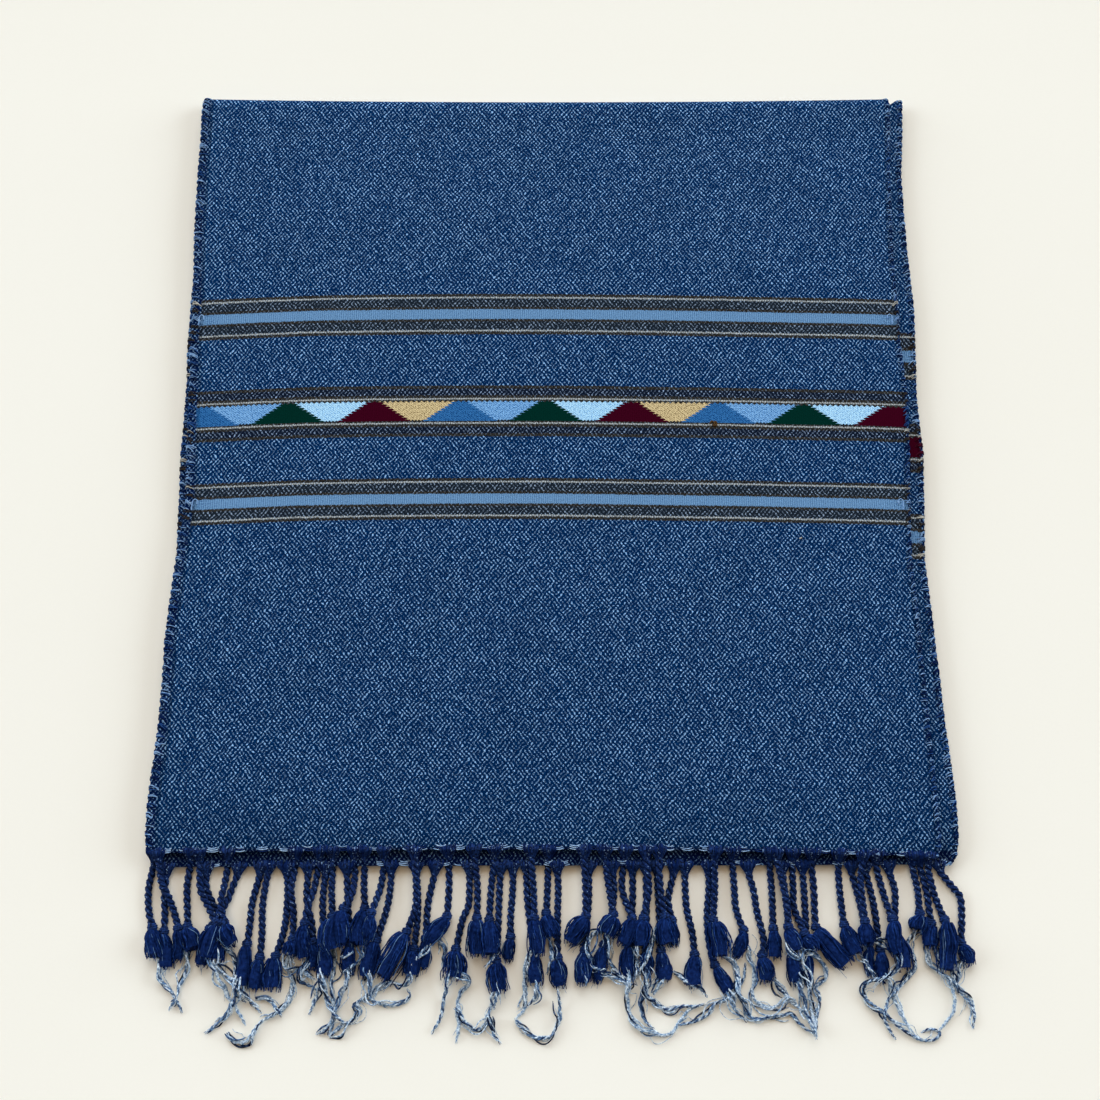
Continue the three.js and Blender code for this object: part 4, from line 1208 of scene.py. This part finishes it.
# ---- Loose light threads --------------------------------------------------------------------
# Pale blue weft ends that were left long at the hems. They come out of the tufts in twos
# and threes, loop over the table and cross each other, each a soft two-ply thread.
# Every row is the way one of them runs, x and y.
LOOSE_THREADS = [
    [(-154.3, -170.7), (-154, -176), (-150, -180), (-147.3, -184), (-144.7, -189.3)],
    [(-147.3, -184), (-148.6, -186), (-149.7, -188.3)],
    [(-144, -168.7), (-144.3, -174), (-146, -178.7), (-147, -184)],
    [(-129.7, -163.3), (-125.3, -168.7), (-124, -174), (-123.3, -182), (-120, -185.3)],
    [(-132.7, -170), (-129.3, -174), (-123.3, -178.7), (-118, -184.7), (-113.3, -189.3)],
    [(-132.7, -170.7), (-130.7, -176), (-128, -181.3), (-124.7, -185.3), (-122, -189.3),
     (-119.3, -194)],
    [(-125.3, -187.3), (-130, -192.7), (-135.3, -197)],
    [(-126.7, -196.7), (-123.3, -200), (-118.7, -200), (-115, -194)],
    [(-102.7, -166.7), (-103.3, -172), (-102, -177.3), (-102.7, -184), (-106, -188.7),
     (-114, -193.3), (-116.7, -201.3)],
    [(-104.7, -172.3), (-99, -172.7), (-92.7, -176.7)],
    [(-98.7, -176), (-94, -179.3), (-90.7, -180.7)],
    [(-116, -183.7), (-112, -183.7), (-108.7, -186), (-105.3, -190.7)],
    [(-90, -176), (-92, -183.3), (-94.7, -190)],
    [(-85.7, -167.3), (-85.3, -174), (-86.7, -178.7), (-85.3, -185.3), (-84.7, -192),
     (-86.7, -197.7)],
    [(-82, -168.7), (-77.3, -165.3)],
    [(-74, -167.3), (-81.3, -174)],
    [(-78.7, -175.3), (-82.7, -182), (-84.7, -188.7), (-87.3, -194.7), (-92, -197.3)],
    [(-86.7, -198), (-80.7, -194), (-75.3, -189.3), (-76.7, -186), (-72, -182.7), (-67.3, -179.3),
     (-62.7, -177.7), (-58, -178.7), (-55, -176.7), (-55, -171.3), (-51.3, -166.7), (-47.7, -162.7)],
    [(-70.7, -183.3), (-65.3, -186), (-60, -186), (-55.3, -182.7), (-56.7, -180)],
    [(-88.7, -181), (-86, -187.3), (-82, -192), (-79.3, -193.3)],
    [(-62, -168.7), (-60, -166), (-57.3, -162.7)],
    [(-42, -164), (-42.3, -168.7), (-42.7, -173.3)],
    [(-40.7, -178.7), (-41.7, -184), (-42.7, -190), (-46.3, -197.3)],
    [(-32, -178), (-35.3, -182), (-36.3, -186), (-35.7, -193.3), (-36.3, -200.7)],
    [(-36.3, -186.7), (-34, -192), (-29.3, -195.7), (-25.3, -193.3), (-23.7, -188.7),
     (-22.3, -180.7)],
    [(-24, -190.7), (-22.7, -196), (-19.3, -201)],
    [(-20.7, -181.3), (-22, -188)],
    [(-22.7, -160), (-21, -164), (-22.7, -168.7), (-26, -172)],
    [(-7.7, -166.7), (-8.7, -173.3), (-9.7, -180), (-10, -187.3), (-14, -192)],
    [(-13.7, -192), (-10, -196), (-4.7, -199), (0, -198), (2, -195.3), (4, -190.7), (3.7, -184),
     (3, -180)],
    [(-5.7, -176.7), (-6, -182.7), (-9.3, -187.3)],
    [(0.7, -161.3), (0, -169.3), (-1.3, -174.7)],
    [(16.3, -159.3), (15, -166.7), (17.3, -172), (22.7, -172.7)],
    [(23.3, -160.7), (23.3, -167.3), (24.7, -171.3), (29.3, -177.3), (34, -178.7)],
    [(20, -174), (26, -176), (30.7, -178.7)],
    [(30.7, -178.7), (30.3, -184), (31.3, -189.3), (34.7, -194.7), (39.3, -196.7), (44.7, -197.7),
     (48.7, -195.7), (51.3, -192), (54.7, -188), (60.7, -185.7)],
    [(37.3, -181.3), (35.3, -186.7), (37.3, -192), (40.7, -195.3)],
    [(38, -181.3), (42, -185.3), (46, -188), (51.3, -186.7), (56.7, -186.7), (60.7, -186)],
    [(48.7, -173.3), (53.3, -177.3), (59.3, -180), (61.7, -183.3)],
    [(40.7, -182), (46.7, -174)],
    [(43.3, -155.3), (40.7, -161.3), (38, -169.3), (33.3, -176.7)],
    [(36.3, -160.7), (33.3, -164.7), (34.7, -172), (32.7, -176.7)],
    [(50.7, -193.7), (56, -192.7), (62, -190), (64.7, -186), (71.3, -182.7), (76.7, -176),
     (77.3, -170)],
    [(14, -174), (14, -179)],
    [(77.3, -160), (80, -168.7), (81, -174), (80, -180.7), (81.3, -184.7), (86.7, -187.3),
     (92.7, -185), (95.3, -185.3), (99.3, -188.7), (102, -193.3), (104, -198)],
    [(88, -176), (92.7, -182), (95.3, -185.3)],
    [(68, -166.7), (72.7, -170.7), (74, -175.3), (74, -181.3), (77.3, -186), (78.7, -190.7),
     (84.7, -191.3), (91.3, -190), (94.7, -189.7), (98, -193.3), (103.3, -197.3)],
    [(70, -182.7), (72.7, -188), (77.3, -192.7)],
    [(94, -160), (94.7, -165.3), (98, -168.7), (101.3, -166), (106, -168), (109.3, -172),
     (109.3, -175.3), (105.3, -179.3), (106, -184), (104.7, -190.7), (104, -197.3)],
    [(99.3, -168.7), (101.3, -176), (102.3, -184), (103.3, -192), (103.7, -199.3)],
    [(98.7, -179.3), (100.7, -188.7), (102.7, -195.3)],
    [(123.7, -168), (126, -172), (128.3, -176)],
    [(127.7, -162), (134, -164.7), (136, -167.3)],
    [(137.3, -170.7), (132.7, -175.3), (126.7, -176.7), (123.7, -180.7), (125.3, -184.7),
     (130.7, -188.7), (134.7, -192.7), (139.3, -196), (144.7, -199.3), (150, -199.3),
     (152.7, -196.7), (149.3, -195.3), (145.3, -196.7)],
    [(134, -178), (136, -184.7), (139.3, -192), (141.3, -197.3)],
    [(142.7, -162.7), (145, -169.3), (142.7, -174.7), (136, -180.7), (132.7, -185.3), (131.3, -190),
     (132.7, -194.7), (135.3, -199.3)],
    [(152.3, -160), (150, -167.3), (150.7, -170.7), (155.3, -174), (158, -178), (159.3, -182.7),
     (158.7, -188.7), (155.3, -192.7), (152, -196)],
    [(159.3, -161.3), (161, -168.7), (159.3, -174.7), (158, -178)],
    [(163.3, -168.7), (160.7, -178.7), (165.3, -185.3), (166.7, -190), (165.7, -195.3)],
    [(154.3, -167.3), (154, -173.3)],
]
THREAD_FINISHES = [
    # name, dark, light, noise to a millimetre, where the light starts, contrast
    yarn_finish("pale_thread", dye(98, 132, 168), dye(222, 236, 246), 1.1, 0.38, 4.0),
    yarn_finish("blue_thread", dye(24, 46, 86), dye(122, 156, 194), 0.7, 0.4, 3.4),
    yarn_finish("dark_thread", dye(8, 16, 40), dye(58, 84, 124), 0.8, 0.42, 4.0),
]
PALE_THREAD, BLUE_THREAD, DARK_THREAD = range(len(THREAD_FINISHES))
THREAD_PLY = 0.4
THREAD_CORE = 0.36
THREAD_TURN = 3.2
THREAD_BODY = 0.75  # radius that it lies on other strands with
BESIDE = 4  # yarns that run beside a thread
HAIRS = 2


def out_of_tuft(point):
    """Where a thread that ends near a tuft comes out of it, or None."""
    tufts = [(np.array(row[2]), np.array(row[3])) for row in SECOND_CORDS + FRONT_CORDS]
    knot, tip = min(tufts, key=lambda ends: np.linalg.norm(ends[1] - point))
    near = 0.5 < np.linalg.norm(tip - point) < 9
    return tuple(even(knot, tip, 0.6)) if near and tip[1] > point[1] - 2 else None


def thread_spine(row):
    """The line that one thread takes over what already lies there, with its heights."""
    start = out_of_tuft(row[0]) if row[1][1] < row[0][1] else None
    points = [start, *row] if start else row
    line = smooth_line([(x * SECOND_FAN, y) for x, y in points], 0.6)
    ripple = [wobble(i * 0.2, len(row) * 3.7, row[0][0]) for i in range(len(line))]
    line = line + 0.6 * np.column_stack([ripple, np.zeros(len(line))])
    arch = 0.5 * np.sin(np.linspace(0, 1, len(line)) * math.pi)
    heights = heap.rest(line, THREAD_BODY, 0.0, 0.6) + arch
    if start:
        sunk = 1.8 * np.exp(-np.arange(len(line)) / 4)
        heights = np.maximum(heights - sunk, THREAD_BODY)
    heap.add(line, heights, 0.6)
    return np.column_stack([line, heights])


def beside_thread(yarns, spine, hair, dice):
    """A yarn that runs beside a thread and crosses it, or a hair that has come loose."""
    reach = dice.uniform(2.0, 5.0) if hair else dice.uniform(1.4, 3.4)
    seed = dice.uniform(0, 50)
    sway = [reach * (0.3 + 1.5 * wobble(i * 0.07, seed, 0)) for i in range(len(spine))]
    path = around(spine, dice.uniform(18, 46), np.array(sway), dice.uniform(0, 6))
    path[:, 2] = np.clip(path[:, 2], 0.45, spine[:, 2] + 1.6)
    stop = max(int(len(path) * dice.uniform(0.55, 1)), 4)
    ends = np.interp(np.arange(stop), [0, 3, stop - 4, stop - 1], [0.5, 1, 1, 0.3])
    thick, finish = 0.14, PALE_THREAD
    if not hair:
        thick = dice.uniform(0.28, 0.42)
        finish = dice.choice((PALE_THREAD, PALE_THREAD, BLUE_THREAD, DARK_THREAD))
    yarns.lay(path[:stop], thick * ends, finish)


def loose_threads():
    """Every thread as two plies, with yarns and hairs beside it."""
    dice = random.Random(31)
    yarns = Yarns(4, THREAD_FINISHES)
    for row in LOOSE_THREADS:
        spine = thread_spine(row)
        phase = dice.uniform(0, 2 * math.pi)
        turn_length = THREAD_TURN * dice.uniform(0.8, 1.7)
        last = len(spine) - 1
        taper = np.interp(np.arange(len(spine)), [0, 3, last - 6, last], [0.4, 1, 1, 0.3])
        other_ply = PALE_THREAD if dice.random() < 0.35 else BLUE_THREAD
        for ply, finish in ((0, PALE_THREAD), (math.pi, other_ply)):
            path = around(spine, turn_length, THREAD_CORE, phase + ply)
            yarns.lay(path, THREAD_PLY * taper, finish)
        for strand in range(BESIDE + HAIRS):
            beside_thread(yarns, spine, strand >= BESIDE, dice)
    return yarns.piece("loose_threads")


loose_threads_piece = loose_threads()


# ---- Front fringe ---------------------------------------------------------------------------
# The front end's cords lie last, over the second end's hem, cords and threads.
front_cords, front_tufts, front_bulbs = fringe(
    "front_fringe", FRONT_CORDS, FRONT, FRONT_FAN, seed=22
)
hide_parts("second_fringe")
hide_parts("front_fringe")
